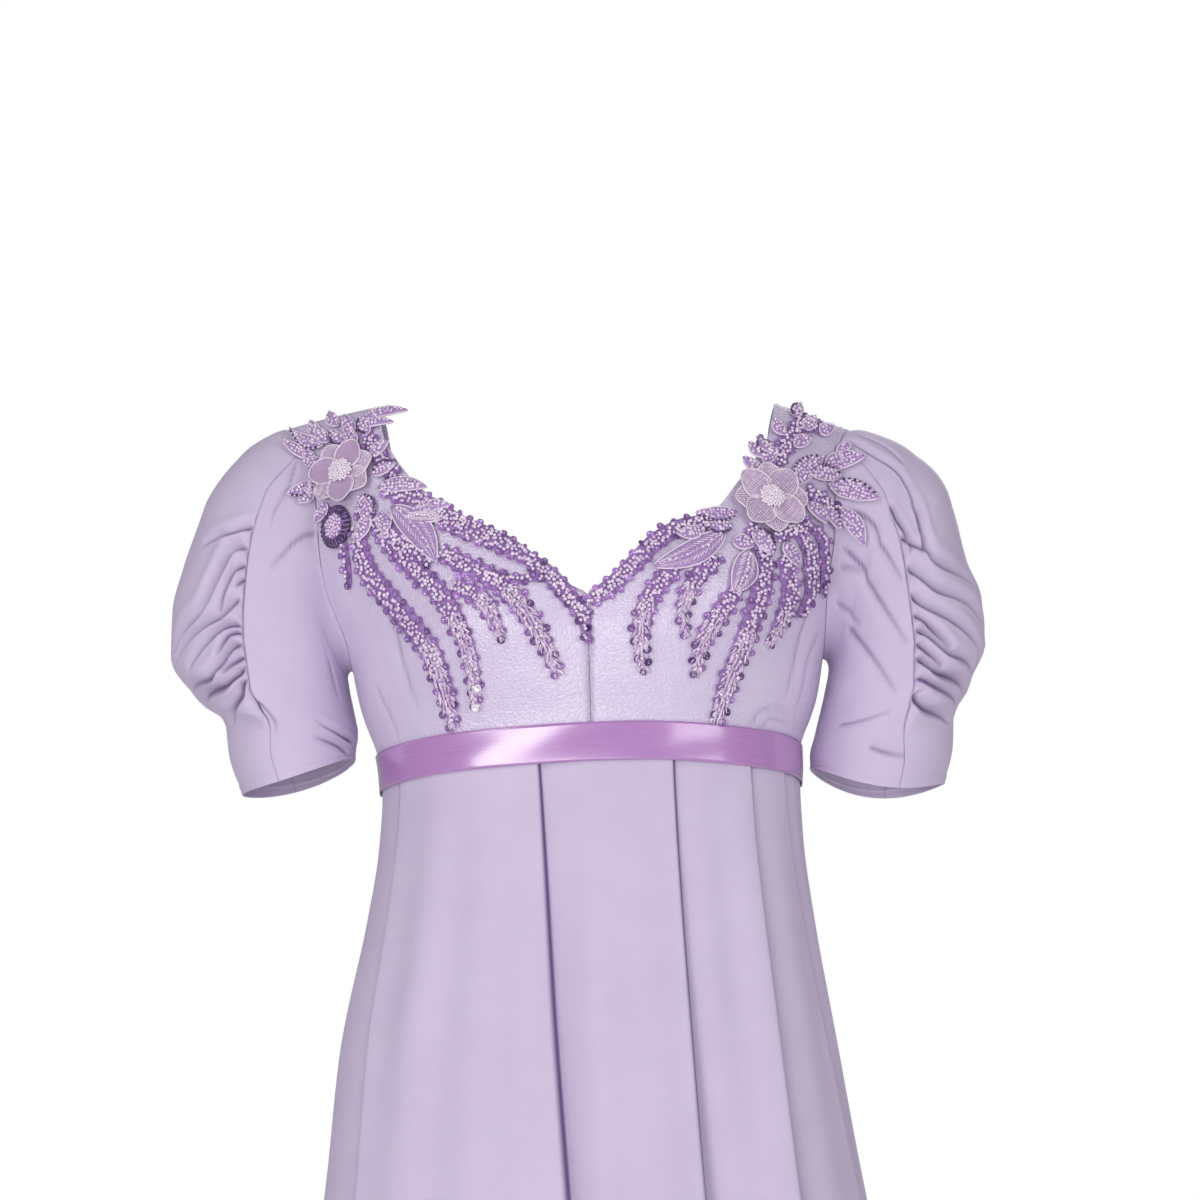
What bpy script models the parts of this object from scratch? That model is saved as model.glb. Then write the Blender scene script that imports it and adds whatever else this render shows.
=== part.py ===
"""Regency gown: an empire-line evening dress with ruched puff sleeves, a satin ribbon and beaded lace.

Metres, +Z up. The gown faces -Y, so +X is the wearer's left. The origin is the middle of the shoulder
line, where the wearer's shoulders hold the gown up. Tables are in millimetres. "Level" is the height of
a section of the body form, and "turn" is the angle round it: 0 at the centre front, 90 degrees at the
wearer's left side, -90 at the right side and 180 at the centre back.
"""
import math

import bmesh
import bpy
import numpy as np

MM = 0.001
QUARTER = math.pi / 2

# ---- driving sizes -----------------------------------------------------------------------------------
CLOTH = 1.5 * MM  # wall of every cloth panel
SEAM = 0.3 * MM  # gap between neighbouring pieces
EMPIRE = -250 * MM  # level of the seam under the bust, at the middle of the ribbon
RIBBON_WIDTH = 25 * MM
RIBBON_WALL = 1.0 * MM
RIBBON_CLEAR = 0.8 * MM  # the ribbon stands this far off the panels under it
HEM = -1390 * MM
STRAP_INNER = 133 * MM  # where a strap starts, from the centre
SHOULDER_DROP = {"right": 4 * MM, "left": 10 * MM}  # how far below the origin each strap's inner end lies
SHOULDER_FALL = {"right": 0.17, "left": 0.36}  # how steeply each shoulder line falls outwards
SIDE_DIP = 11 * MM  # how much lower the empire seam lies at the sides than at the front
BACK_DIP = 7 * MM  # and at the centre back
ROUNDNESS = 2.3  # exponent of the form's oval sections: 2 is an ellipse, more is squarer
ARM_LEVEL = -91 * MM  # middle of the armhole, seen from the side
ARM_HEIGHT = 91 * MM  # half its height
ARM_DEPTH = 45 * MM  # half its depth
ARM_WAIST = 0.22  # how much narrower the armhole is at the shoulder than under the arm
SLEEVE_CLEAR = 1.5 * MM  # the sleeve's first ring stands this far off the armhole's edge
SLEEVE_SEAM = 1.2 * MM  # gap outside between a sleeve's panels, which narrows to a SEAM inside
SHOULDER_SEAM = 1.2 * MM  # the same between front and back on the rounded shoulder
LACE_WALL = 1.2 * MM
LACE_CLEAR = 1.5 * MM  # stiff with beads, the lace bridges the folds of the cloth under it
FLOWER_WALL = 1.5 * MM

# Sections of the body form. right and left are half widths, front and back are half depths.
FORM = """
level  right left  front back
-1390  305   300   250   262
-1000  253   245   202   215
-700   210   200   160   175
-520   184   170   133   146
-435   174   158   122   130
-350   155   146   114   114
-300   146   141   110   106
-262   143   140   107   101
-240   145   141   108   101
-205   157   154   116   105
-172   165   161   122   109
-140   182   168   122   111
-110   190   176   115   109
-75    194   180   101   102
-45    200   184   82    86
-22    205   187   61    65
-8     208   188   46    49
-3     209   189   36    38
-1     209   189   24    25
0      209   189   0     0
"""

# The neck edge, from the centre outwards: distance from the centre and level.
NECK_RIGHT = """
across level
0.15   -158
10     -151
20     -140
36     -128
55     -113
79     -103
98     -87
110    -75
124    -55
136    -28
140    0
"""
NECK_LEFT = """
across level
0.15   -158
9      -150
19     -142
37     -125
47     -116
71     -108
86     -99
98     -83
113    -61
125    -36
132    0
"""
NECK_BACK_RIGHT = """
across level
0.15   -127
24     -123
48     -111
80     -93
106    -73
127    -50
138    -24
140    0
"""
NECK_BACK_LEFT = """
across level
0.15   -127
24     -123
46     -110
74     -92
98     -72
117    -50
129    -24
132    0
"""

# Rings of a sleeve, from the armhole to the cuff. outer and inner are the ends of a ring seen from the
# front (distance from the centre, height), front and back are its half depths, drop is how much lower
# its front and back hang than its ends, and seam is the angle of the gathered seam from the outer end.
SLEEVE_LEFT = """
outer_x outer_z inner_x inner_z front back drop seam
190     -16     163     -183    45    45   0    44
207     -31     164     -190    50    49   0    56
226     -44     163     -198    54    52   0    72
242     -64     161     -206    57    54   1    78
250     -92     159     -214    59    56   2    80
256     -122    157     -221    60    57   3    81
265     -150    155     -228    60    57   4    85
266     -178    153     -235    60    56   5    86
256     -202    151     -242    58    53   6    82
247     -226    149     -248    54    50   8    80
245     -250    148     -254    51    47   10   78
238     -275    148     -262    49    45   11   78
"""
SLEEVE_RIGHT = """
outer_x outer_z inner_x inner_z front back drop seam
209     -12     167     -181    45    45   0    44
222     -21     167     -188    50    49   0    54
238     -34     166     -195    54    52   0    63
253     -57     165     -201    57    54   1    69
264     -86     164     -206    59    56   2    74
274     -115    163     -211    60    57   3    79
281     -143    162     -216    60    57   3    84
282     -174    161     -221    60    56   4    87
267     -198    160     -227    58    53   4    84
250     -218    160     -233    54    50   4    80
247     -243    161     -239    51    47   4    78
238     -270    162     -247    49    45   4    78
"""

# The ruches: soft ridges that run from the gathered seam round the outside of the sleeve. ring is where a
# ridge meets the seams, fall is how many rings lower it crosses the outside, width is in rings.
RUCHES = """
ring fall height width
2.7  0.9  2.5    0.42
4.0  1.2  3.5    0.40
5.0  1.4  4.0    0.38
6.0  1.4  4.0    0.36
7.0  1.2  3.5    0.36
8.1  0.9  2.5    0.34
"""

# Pleats of the skirt. top, low and hem say where the pleat's edge lies just under the ribbon, at the level
# LOW and at the hem, as a share of the way from the centre to the side seam, positive to the wearer's left.
# The cloth steps back past the edge by the depth, towards lap, and comes forward again over the width.
LOW = -540 * MM
PLEATS_FRONT = """
top    low    hem    lap  depth_top depth_low depth_hem width
-0.70  -0.66  -0.64  -1   0.8       5         16        26
-0.168 -0.082 -0.060 1    1.2       9         20        26
0.264  0.262  0.270  1    1.2       9         20        28
0.545  0.515  0.520  1    1.4       8         18        24
0.720  0.800  0.810  1    1.2       6         16        24
"""
PLEATS_BACK = """
top    low    hem    lap  depth_top depth_low depth_hem width
-0.72  -0.74  -0.76  -1   1.0       6         17        26
-0.36  -0.38  -0.40  -1   1.2       8         20        28
0.36   0.37   0.38   1    1.2       8         20        28
0.70   0.74   0.76   1    1.0       6         17        26
"""

# The lace lies along the neck edge: each row runs from its inner edge to its lower edge.
LACE_RIGHT = """
inner_x inner_z lower_x lower_z
136     -26     180     -42
128     -46     174     -68
120     -60     168     -92
111     -75     158     -108
104     -82     148     -120
98      -88     138     -127
90      -96     125     -127
82      -102    112     -130
74      -106    99      -138
64      -110    87      -144
55      -115    76      -148
45      -122    62      -149
35      -130    50      -152
24      -139    33      -155
12      -151    17      -168
0.6     -160    0.6     -188
"""
LACE_LEFT = """
inner_x inner_z lower_x lower_z
127     -36     165     -44
119     -54     165     -68
112     -65     161     -92
107     -73     159     -106
102     -80     152     -116
97      -87     145     -121
93      -92     136     -125
89      -97     127     -129
84      -101    118     -133
79      -104    108     -137
73      -108    99      -142
66      -111    88      -146
60      -112    79      -142
52      -115    68      -143
44      -120    56      -145
35      -128    44      -150
22      -140    29      -158
10      -151    13      -172
0.6     -160    0.6     -188
"""

# Beaded fronds that hang from the lace. row is the lace row whose lower edge starts the frond, then come
# the middle and the tip.
FRONDS_RIGHT = """
row middle_x middle_z tip_x tip_z
4   112      -174     88    -233
6   84       -172     73    -222
9   64       -164     57    -181
11  38       -172     22    -205
"""
FRONDS_LEFT = """
row middle_x middle_z tip_x tip_z
3   158      -131     155   -150
5   148      -146     139   -167
7   131      -158     117   -186
9   104      -180     80    -233
11  80       -180     69    -206
13  61       -165     62    -183
15  34       -180     35    -204
"""
FROND_HALF_WIDTH = 5.5 * MM
TIP_HALF_WIDTH = 2.5 * MM

# Sewn-on flowers and the beaded medallion: which side, where the centre lies, and the outer radius.
FLOWERS = {
    "flower_right": (-1, 158, -60, 21),
    "flower_left": (1, 124, -88, 22),
}
MEDALLION = (-1, 160, -98, 9)


def table(text):
    """The columns of a table by name, lengths in millimetres."""
    lines = [line.split() for line in text.strip().splitlines()]
    return dict(zip(lines[0], np.array([[float(cell) for cell in line] for line in lines[1:]]).T))


def curve(knots, values, at):
    """A smooth curve through values at rising knots that never overshoots them."""
    step = np.diff(knots)
    slope = np.diff(values) / step
    total = slope[1:] + slope[:-1]
    same_way = slope[1:] * slope[:-1] > 0
    inner = np.where(same_way, 2 * slope[1:] * slope[:-1] / np.where(same_way, total, 1), 0)
    tangent = np.concatenate([[slope[0]], inner, [slope[-1]]])
    i = np.clip(np.searchsorted(knots, at, side="right") - 1, 0, len(step) - 1)
    t = (at - knots[i]) / step[i]
    ends = values[i] * (1 + 2 * t) * (1 - t) ** 2 + values[i + 1] * t * t * (3 - 2 * t)
    return ends + step[i] * t * (1 - t) * (tangent[i] * (1 - t) - tangent[i + 1] * t)


FORM_COLUMNS = table(FORM)


def half_width_at(column, level):
    return curve(FORM_COLUMNS["level"] * MM, FORM_COLUMNS[column] * MM, level)


def half_depth_at(column, level):
    """Squares are smoothed, so that the shoulders end in a round top."""
    squares = curve(FORM_COLUMNS["level"] * MM, (FORM_COLUMNS[column] * MM) ** 2, level)
    return np.sqrt(np.maximum(squares, 0))


def rounded(value):
    """A sine or cosine bent so that a circle becomes the form's squarer oval."""
    return np.sign(value) * np.abs(value) ** (2 / ROUNDNESS)


def form(turn, level, out=0.0):
    """Points of the body form, moved out by a distance: oval sections with a soft bust, falling shoulders
    and an empire line that dips at the sides."""
    across = rounded(np.sin(turn))
    ahead = rounded(np.cos(turn))
    half_width = np.where(across > 0, half_width_at("left", level), half_width_at("right", level))
    half_depth = np.where(ahead > 0, half_depth_at("front", level), half_depth_at("back", level))
    x = across * half_width
    y = -ahead * half_depth
    cup = np.exp(-(((np.abs(x) - 70 * MM) / (50 * MM)) ** 2) - ((level + 165 * MM) / (45 * MM)) ** 2)
    y = y - np.where(ahead > 0, 10 * MM * cup, 0)
    drop = np.where(across > 0, SHOULDER_DROP["left"], SHOULDER_DROP["right"])
    slope = np.where(across > 0, SHOULDER_FALL["left"], SHOULDER_FALL["right"])
    near_shoulder = np.clip(1 + level / (100 * MM), 0, 1) ** 2
    fall = (drop + slope * np.maximum(np.abs(x) - STRAP_INNER, 0)) * near_shoulder
    front_dip = SIDE_DIP * (1 - np.abs(ahead)) ** 0.8
    dip = np.where(ahead > 0, front_dip, SIDE_DIP + (BACK_DIP - SIDE_DIP) * -ahead)
    above_seam = np.clip((-150 * MM - level) / (70 * MM), 0, 1)
    below_seam = np.clip((level + 700 * MM) / (400 * MM), 0, 1)
    z = level - fall - dip * above_seam * below_seam
    points = np.stack([x, y, z], axis=-1)
    if np.any(out):
        points = points + outward(turn, level) * np.asarray(out)[..., None]
    return points


def outward(turn, level):
    """The form's unit normals, from small steps round it and up it."""
    step = 0.004
    round_it = form(turn + step, level) - form(turn - step, level)
    up_it = form(turn, np.minimum(level + 2 * MM, -1 * MM)) - form(turn, level - 2 * MM)
    normal = np.cross(round_it, up_it)
    return normal / np.linalg.norm(normal, axis=-1, keepdims=True)


def turn_at(across, level, back=False):
    """The turn at which a section reaches a distance from the centre, positive to the wearer's left."""
    half_width = np.where(across > 0, half_width_at("left", level), half_width_at("right", level))
    share = np.clip(np.abs(across) / half_width, 0, 1)
    turn = np.sign(across) * np.arcsin(share ** (ROUNDNESS / 2))
    return np.where(back, np.sign(across) * math.pi - turn, turn)


def armhole(side, angle, grow=0.0):
    """Turn and level of the armhole's edge: an egg shape seen from the side. angle is 0 at the shoulder,
    180 degrees under the arm, positive in front."""
    level = ARM_LEVEL + (ARM_HEIGHT + grow) * np.cos(angle)
    depth = -(ARM_DEPTH + grow) * np.sin(angle) * (1 - ARM_WAIST * np.cos(angle))
    half_depth = np.where(angle > 0, half_depth_at("front", level), half_depth_at("back", level))
    share = np.clip(np.abs(depth) / np.maximum(half_depth, 0.01 * MM), 0, 1)
    turn = np.arccos(share ** (ROUNDNESS / 2))
    return side * np.where(angle > 0, turn, math.pi - turn), level


def evenly(turns, levels, count):
    """The same path with a point at the empire seam, the others evenly spaced from the ribbon's top edge,
    measured on the form, and the last one close after them, so that the shoulder seam is flat."""
    spots = form(turns, levels)
    lengths = np.linalg.norm(np.diff(spots, axis=0), axis=1)
    along = np.concatenate([[0], np.cumsum(lengths)])
    ribbon_top = np.interp(EMPIRE + RIBBON_WIDTH / 2, levels[:30], along[:30])
    flat_top = along[-1] - 5 * MM
    wanted = np.concatenate([[0], np.linspace(ribbon_top, flat_top, count - 2), [along[-1]]])
    return np.interp(wanted, along, turns), np.interp(wanted, along, levels)


def neck_path(text, side, back):
    """The panel's inner edge: up the centre seam, then along the neck edge to the strap."""
    rows = table(text)
    across = side * np.concatenate([[rows["across"][0]], rows["across"]]) * MM
    levels = np.concatenate([[EMPIRE / MM + SEAM / MM / 2], rows["level"]]) * MM
    knots = np.arange(len(levels), dtype=float)
    fine = np.linspace(0, knots[-1], 240)
    level = np.where(fine < 1, np.interp(fine, knots, levels), curve(knots, levels, fine))
    width = np.where(fine < 1, np.interp(fine, knots, across), curve(knots, across, fine))
    return turn_at(width, level, back), level


def side_path(side, back):
    """The panel's outer edge: up the side seam, then round half of the armhole to the strap."""
    seam_turn = 0.0008
    turn = QUARTER + seam_turn if back else QUARTER - seam_turn
    up_level = np.linspace(EMPIRE + SEAM / 2, ARM_LEVEL - ARM_HEIGHT, 40)
    angle = np.radians(np.linspace(179, 0.3, 200)) * (-1 if back else 1)
    arm_turn, arm_level = armhole(side, angle)
    return np.concatenate([np.full(40, side * turn), arm_turn]), np.concatenate([up_level, arm_level])


def between(inner, outer, columns):
    """Turns and levels of a panel: straight lines on the form between its two edges."""
    share = np.linspace(0, 1, columns)[None, :]
    return [a[:, None] * (1 - share) + b[:, None] * share for a, b in zip(inner, outer)]


def bodice_panel(text, side, back, rows, columns):
    inner = evenly(*neck_path(text, side, back), rows)
    outer = evenly(*side_path(side, back), rows)
    turn, level = between(inner, outer, columns)
    points = form(turn, level)
    points[-1, :, 1] = SHOULDER_SEAM / 2 if back else -SHOULDER_SEAM / 2
    return points


def quarter_turns(level, back, side):
    """Turns and distances from the centre front or back to the side seam, along one section."""
    turn = np.linspace(0, QUARTER, 181)
    turn = side * (math.pi - turn if back else turn)
    spots = form(turn, np.full(turn.shape, level))
    lengths = np.linalg.norm(np.diff(spots, axis=0), axis=1)
    return turn, np.concatenate([[0], np.cumsum(lengths)])


def at_level(rows, names, level):
    """A pleat table's three columns, read at one level."""
    knots = np.array([HEM, LOW, EMPIRE - RIBBON_WIDTH / 2])
    return [np.interp(level, knots, values) for values in zip(*(rows[name] for name in names))]


def pleats(rows, share, quarter, level):
    """How far the pleats push the cloth out (negative is in), at shares of a quarter's length."""
    push = np.zeros_like(share)
    lines = at_level(rows, ("hem", "low", "top"), level)
    depths = at_level(rows, ("depth_hem", "depth_low", "depth_top"), level)
    opened = np.interp(level, [HEM, LOW, EMPIRE], [2.6, 1.0, 0.35])
    crisp = np.interp(level, [HEM, LOW, EMPIRE], [7.0, 2.0, 0.8]) * MM
    for line, depth, lap, width in zip(lines, depths, rows["lap"], rows["width"]):
        past = lap * (share - line) * quarter
        reach = width * MM * opened
        step = 1 / (1 + np.exp(np.clip(-past / crisp, -40, 40)))
        push -= depth * MM * step * np.exp(-np.maximum(past, 0) / reach)
        push += 0.22 * depth * MM * (1 - step) * np.exp(-((past / reach) ** 2))
    sway = np.interp(level, [HEM, LOW, EMPIRE], [9, 2.5, 0]) * MM
    return push + sway * (np.cos(9.4 * share + 0.6) + 0.6 * np.cos(15.1 * share - 1.1)) * (1 - share**4)


def skirt_shares(rows, level, spread):
    """Shares of the quarter at which one row of the skirt has its points: even, and close at the pleats."""
    lines = np.sort(at_level(rows, ("hem", "low", "top"), level))
    stops = np.concatenate([[-1], np.ravel([(line - 0.012, line + 0.012) for line in lines]), [1]])
    wide = np.linspace(stops[0::2], stops[1::2], spread + 1)
    return np.unique(wide.ravel())


def skirt_panel(text, back, levels, spread):
    """Rings of the form below the empire seam, pushed out and in by the pleats."""
    rows = table(text)
    grid = []
    for level in levels:
        share = skirt_shares(rows, level, spread)
        line = np.zeros((len(share), 3))
        for side in (-1, 1):
            here = share * side >= 0
            turns, along = quarter_turns(level, back, side)
            distance = np.abs(share[here]) * (along[-1] - SEAM / 2)
            turn = np.interp(distance, along, turns)
            push = pleats(rows, share[here], along[-1], level)
            line[here] = form(turn, np.full(turn.shape, level), push)
        grid.append(line)
    return np.array(grid)


def sleeve_ring_points(text, side, ring, angle):
    """Points of a sleeve: rings that turn from the upright armhole to the level cuff. ring counts the
    table's rows and angle runs from 0 at the outside, through 90 degrees in front, to 180 under the arm."""
    rows = table(text)
    knots = np.arange(len(rows["outer_x"]), dtype=float)
    at = {name: curve(knots, values * MM, ring) for name, values in rows.items() if name != "seam"}
    out = np.cos(angle)
    ahead = np.sin(angle)
    x = side * ((at["outer_x"] + at["inner_x"]) / 2 + (at["outer_x"] - at["inner_x"]) / 2 * out)
    z = (at["outer_z"] + at["inner_z"]) / 2 + (at["outer_z"] - at["inner_z"]) / 2 * out
    y = -ahead * np.where(ahead > 0, at["front"], at["back"])
    tube = np.stack([x, y, z - at["drop"] * ahead**2], axis=-1)
    edge = form(*armhole(side, np.clip(angle, -math.pi + 0.01, math.pi - 0.01)), SLEEVE_CLEAR)
    edge[..., 0] += side * SLEEVE_CLEAR
    join = np.clip(ring / 1.6, 0, 1)[..., None]
    join = join * join * (3 - 2 * join)
    return edge * (1 - join) + tube * join


def ruche_height(ring, share):
    """How far the ruches stand out: ridges that fall from each gathered seam to the outside."""
    rows = table(RUCHES)
    height = np.zeros_like(ring)
    for start, fall, high, width in zip(*rows.values()):
        crest = start + fall * (1 - np.abs(share) ** 1.5)
        height += high * MM * np.exp(-(((ring - crest) / width) ** 2))
    return height * np.clip((1 - np.abs(share)) / 0.18, 0, 1)


def sleeve_panel(text, side, part, ring):
    """One panel of a sleeve: front or back, from the gathered seam to under the arm, or the ruched one."""
    seams = table(text)["seam"]
    seam = np.radians(np.interp(ring, np.arange(len(seams)), seams))
    gap = SLEEVE_SEAM / 2 / (55 * MM)
    share = np.linspace(-1, 1, ring.shape[1])[None, :] + np.zeros_like(ring)
    if part == "ruched":
        angle = (seam - gap) * share
        points = sleeve_ring_points(text, side, ring, angle)
        centre = sleeve_centre(text, side, ring)
        away = points - centre
        away = away / np.linalg.norm(away, axis=-1, keepdims=True)
        return points + away * ruche_height(ring, share)[..., None]
    share = (share + 1) / 2
    angle = (seam + gap) * (1 - share) + (math.pi - gap) * share
    return sleeve_ring_points(text, side, ring, angle if part == "front" else -angle)


def sleeve_centre(text, side, ring):
    """The middles of a sleeve's rings."""
    front = sleeve_ring_points(text, side, ring, np.full(ring.shape, 0.0))
    under = sleeve_ring_points(text, side, ring, np.full(ring.shape, math.pi))
    return (front + under) / 2


def grid_mesh(name, points, centres, closed=False):
    """A mesh of quads through a grid of points, its faces turned away from the centres."""
    rows, columns = points.shape[:2]
    index = np.arange(rows * columns).reshape(rows, columns)
    following = np.roll(index, -1, axis=1) if closed else index[:, 1:]
    first = index if closed else index[:, :-1]
    quads = np.stack([first[:-1], following[:-1], following[1:], first[1:]], axis=-1).reshape(-1, 4)
    corners = points.reshape(-1, 3)[quads]
    normals = np.cross(corners[:, 2] - corners[:, 0], corners[:, 3] - corners[:, 1])
    away = corners.mean(axis=1) - np.broadcast_to(centres, points.shape).reshape(-1, 3)[quads].mean(axis=1)
    if (normals * away).sum() < 0:
        quads = quads[:, ::-1]
    mesh = bpy.data.meshes.new(name)
    mesh.from_pydata(points.reshape(-1, 3).tolist(), [], quads.tolist())
    return mesh


def cloth(name, mesh, wall, material, outwards=False):
    """An object whose open surface is thickened, inwards unless said, to a closed wall."""
    mesh.materials.append(material)
    mesh.shade_smooth()
    thing = bpy.data.objects.new(name, mesh)
    solidify = thing.modifiers.new("wall", "SOLIDIFY")
    solidify.thickness = wall
    solidify.offset = 1 if outwards else -1
    GOWN.objects.link(thing)
    return thing


def finish(name, colour, roughness, sheen=0.0):
    """A Principled material for one piece."""
    material = bpy.data.materials.new(name)
    material.use_nodes = True
    shader = material.node_tree.nodes["Principled BSDF"]
    shader.inputs["Base Color"].default_value = (*colour, 1)
    shader.inputs["Roughness"].default_value = roughness
    shader.inputs["Metallic"].default_value = 0
    shader.inputs["Sheen Weight"].default_value = sheen
    return material


CREPE = (0.60, 0.50, 0.72)
SATIN = (0.45, 0.24, 0.55)
LACE = (0.55, 0.36, 0.62)
ORGANZA = (0.50, 0.32, 0.56)
DARK_BEADS = (0.16, 0.06, 0.24)


def crepe(name):
    return finish(name, CREPE, 0.75, 0.3)


def axis_points(points):
    """For each point, the point of the gown's upright middle line at its height."""
    return points * np.array([0, 0, 1])


def add_bodice():
    """Two fronts that meet at the centre seam below the V, and two backs that meet behind."""
    necks = {-1: NECK_RIGHT, 1: NECK_LEFT}
    back_necks = {-1: NECK_BACK_RIGHT, 1: NECK_BACK_LEFT}
    names = {-1: "right", 1: "left"}
    for side in (-1, 1):
        front = bodice_panel(necks[side], side, False, 15, 10)
        name = f"bodice_front_{names[side]}"
        cloth(name, grid_mesh(name, front, axis_points(front)), CLOTH, crepe(name))
        back = bodice_panel(back_necks[side], side, True, 12, 8)
        name = f"bodice_back_{names[side]}"
        cloth(name, grid_mesh(name, back, axis_points(back)), CLOTH, crepe(name))


def add_sleeves():
    """Each sleeve is a smooth front, a smooth back and a ruched panel gathered between them."""
    for name, text, side in (("left", SLEEVE_LEFT, 1), ("right", SLEEVE_RIGHT, -1)):
        for part, columns in (("front", 6), ("ruched", 9), ("back", 5)):
            rings = np.concatenate([[0, 1, 2], np.linspace(2.6, 8.9, 18), [9.6, 10.4, 11]])
            ring = rings[:, None] + np.zeros((1, columns))
            points = sleeve_panel(text, side, part, ring)
            node = f"sleeve_{name}_{part}"
            mesh = grid_mesh(node, points, sleeve_centre(text, side, ring))
            cloth(node, mesh, CLOTH, crepe(node))


def add_skirt():
    """A front and a back, joined at the side seams and hung from the empire seam."""
    top = EMPIRE - SEAM / 2
    under_ribbon = EMPIRE - RIBBON_WIDTH / 2 - 1 * MM
    lower = np.array([-285, -330, -400, -490, -620, -800, -1000, -1200]) * MM
    levels = np.concatenate([[top, under_ribbon], lower, [HEM]])
    for name, text, back in (("skirt_front", PLEATS_FRONT, False), ("skirt_back", PLEATS_BACK, True)):
        points = skirt_panel(text, back, levels, 5)
        cloth(name, grid_mesh(name, points, axis_points(points)), CLOTH, crepe(name))


def add_ribbon():
    """A satin band over the empire seam, closed all round."""
    turn = np.linspace(-math.pi, math.pi, 73)[:-1]
    levels = np.array([EMPIRE + RIBBON_WIDTH / 2, EMPIRE - RIBBON_WIDTH / 2])
    turns, heights = np.meshgrid(turn, levels)
    points = form(turns, heights, RIBBON_CLEAR + RIBBON_WALL)
    mesh = grid_mesh("ribbon", points, axis_points(points), closed=True)
    cloth("ribbon", mesh, RIBBON_WALL, finish("ribbon", SATIN, 0.3))


def on_front(side, across, level, out):
    """Points on the front of the bodice, moved out, from their distance from the centre and level."""
    return form(turn_at(side * across, level), level, out)


def lace_mesh(name, side, lace, fronds, out):
    """The lace as one comb-shaped surface: a band along the neck edge, with a tapered strip for each
    frond that hangs from its lower edge."""
    bands = 4
    share = np.linspace(0, 1, bands)[:, None]
    across = (lace["inner_x"] * (1 - share) + lace["lower_x"] * share) * MM
    level = (lace["inner_z"] * (1 - share) + lace["lower_z"] * share) * MM
    spots = [across.ravel()]
    heights = [level.ravel()]
    width = across.shape[1]
    index = np.arange(bands * width).reshape(bands, width)
    band = np.stack([index[:-1, :-1], index[:-1, 1:], index[1:, 1:], index[1:, :-1]], axis=-1)
    quads = [band.reshape(-1, 4)]
    used = bands * width
    steps = 4
    for row, *ends in zip(*fronds.values()):
        row = int(row)
        start = np.array([across[-1, row:row + 2].mean(), level[-1, row:row + 2].mean()])
        middle, tip = np.array(ends).reshape(2, 2) * MM
        t = np.linspace(0, 1, steps + 1)[1:, None]
        through = 2 * middle - (start + tip) / 2
        path = start * (1 - t) ** 2 + 2 * through * t * (1 - t) + tip * t**2
        heading = np.gradient(np.vstack([start, path]), axis=0)[1:]
        heading = heading / np.linalg.norm(heading, axis=1, keepdims=True)
        beside = np.stack([-heading[:, 1], heading[:, 0]], axis=1)
        half = FROND_HALF_WIDTH * (1 - t) + TIP_HALF_WIDTH * t
        rails = np.stack([path - beside * half, path + beside * half], axis=1)
        top = index[-1, row:row + 2]
        first = np.array([across[-1, row], level[-1, row]])
        if np.linalg.norm(rails[0, 0] - first) > np.linalg.norm(rails[0, 1] - first):
            rails = rails[:, ::-1]
        spots.append(rails[..., 0].ravel())
        heights.append(rails[..., 1].ravel())
        ladder = np.vstack([top, used + np.arange(2 * steps).reshape(steps, 2)])
        quads.append(np.stack([ladder[:-1, 0], ladder[:-1, 1], ladder[1:, 1], ladder[1:, 0]], axis=-1))
        used += 2 * steps
    points = on_front(side, np.concatenate(spots), np.concatenate(heights), out)
    quads = np.concatenate(quads)
    if side < 0:
        quads = quads[:, ::-1]
    mesh = bpy.data.meshes.new(name)
    mesh.from_pydata(points.tolist(), [], quads.tolist())
    return mesh


def add_lace():
    """A beaded lace motif on each front, a wall that follows the bodice just above it."""
    motifs = {"lace_right": (-1, LACE_RIGHT, FRONDS_RIGHT), "lace_left": (1, LACE_LEFT, FRONDS_LEFT)}
    for name, (side, lace, fronds) in motifs.items():
        mesh = lace_mesh(name, side, table(lace), table(fronds), LACE_CLEAR)
        cloth(name, mesh, LACE_WALL, finish(name, LACE, 0.5), outwards=True)


def disc_points(side, across, level, radius, rings, spokes, out, lobes=0, wave=0.0):
    """A ring-by-ring disc on the bodice front, with a wavy edge where it has lobes."""
    angle = np.linspace(0, 2 * math.pi, spokes, endpoint=False)[None, :]
    share = np.linspace(0.12, 1, rings)[:, None]
    reach = radius * share * (1 - wave * share * (1 - np.cos(lobes * angle)) / 2)
    return on_front(side, across + reach * np.cos(angle), level + reach * np.sin(angle), out)


def add_disc(name, points, wall, material):
    """A disc of quads closed with a face at its middle, thickened outwards."""
    mesh = grid_mesh(name, points, axis_points(points), closed=True)
    shape = bmesh.new()
    shape.from_mesh(mesh)
    shape.verts.ensure_lookup_table()
    inner = [shape.verts[i] for i in range(points.shape[1])]
    middle = shape.faces.new(inner)
    middle.normal_update()
    if middle.normal.y > 0:
        middle.normal_flip()
    bmesh.ops.triangulate(shape, faces=[middle])
    shape.to_mesh(mesh)
    shape.free()
    cloth(name, mesh, wall, material, outwards=True)


def add_flowers():
    """Organza flowers on the lace, and one dark beaded medallion."""
    above_lace = LACE_CLEAR + LACE_WALL + 2 * SEAM
    for name, (side, across, level, radius) in FLOWERS.items():
        sizes = [size * MM for size in (across, level, radius)]
        points = disc_points(side, *sizes, 2, 24, above_lace, lobes=6, wave=0.22)
        add_disc(name, points, FLOWER_WALL, finish(name, ORGANZA, 0.55))
    side, across, level, radius = MEDALLION
    points = disc_points(side, across * MM, level * MM, radius * MM, 2, 16, above_lace)
    add_disc("medallion", points, 2 * FLOWER_WALL, finish("medallion", DARK_BEADS, 0.35))


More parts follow.
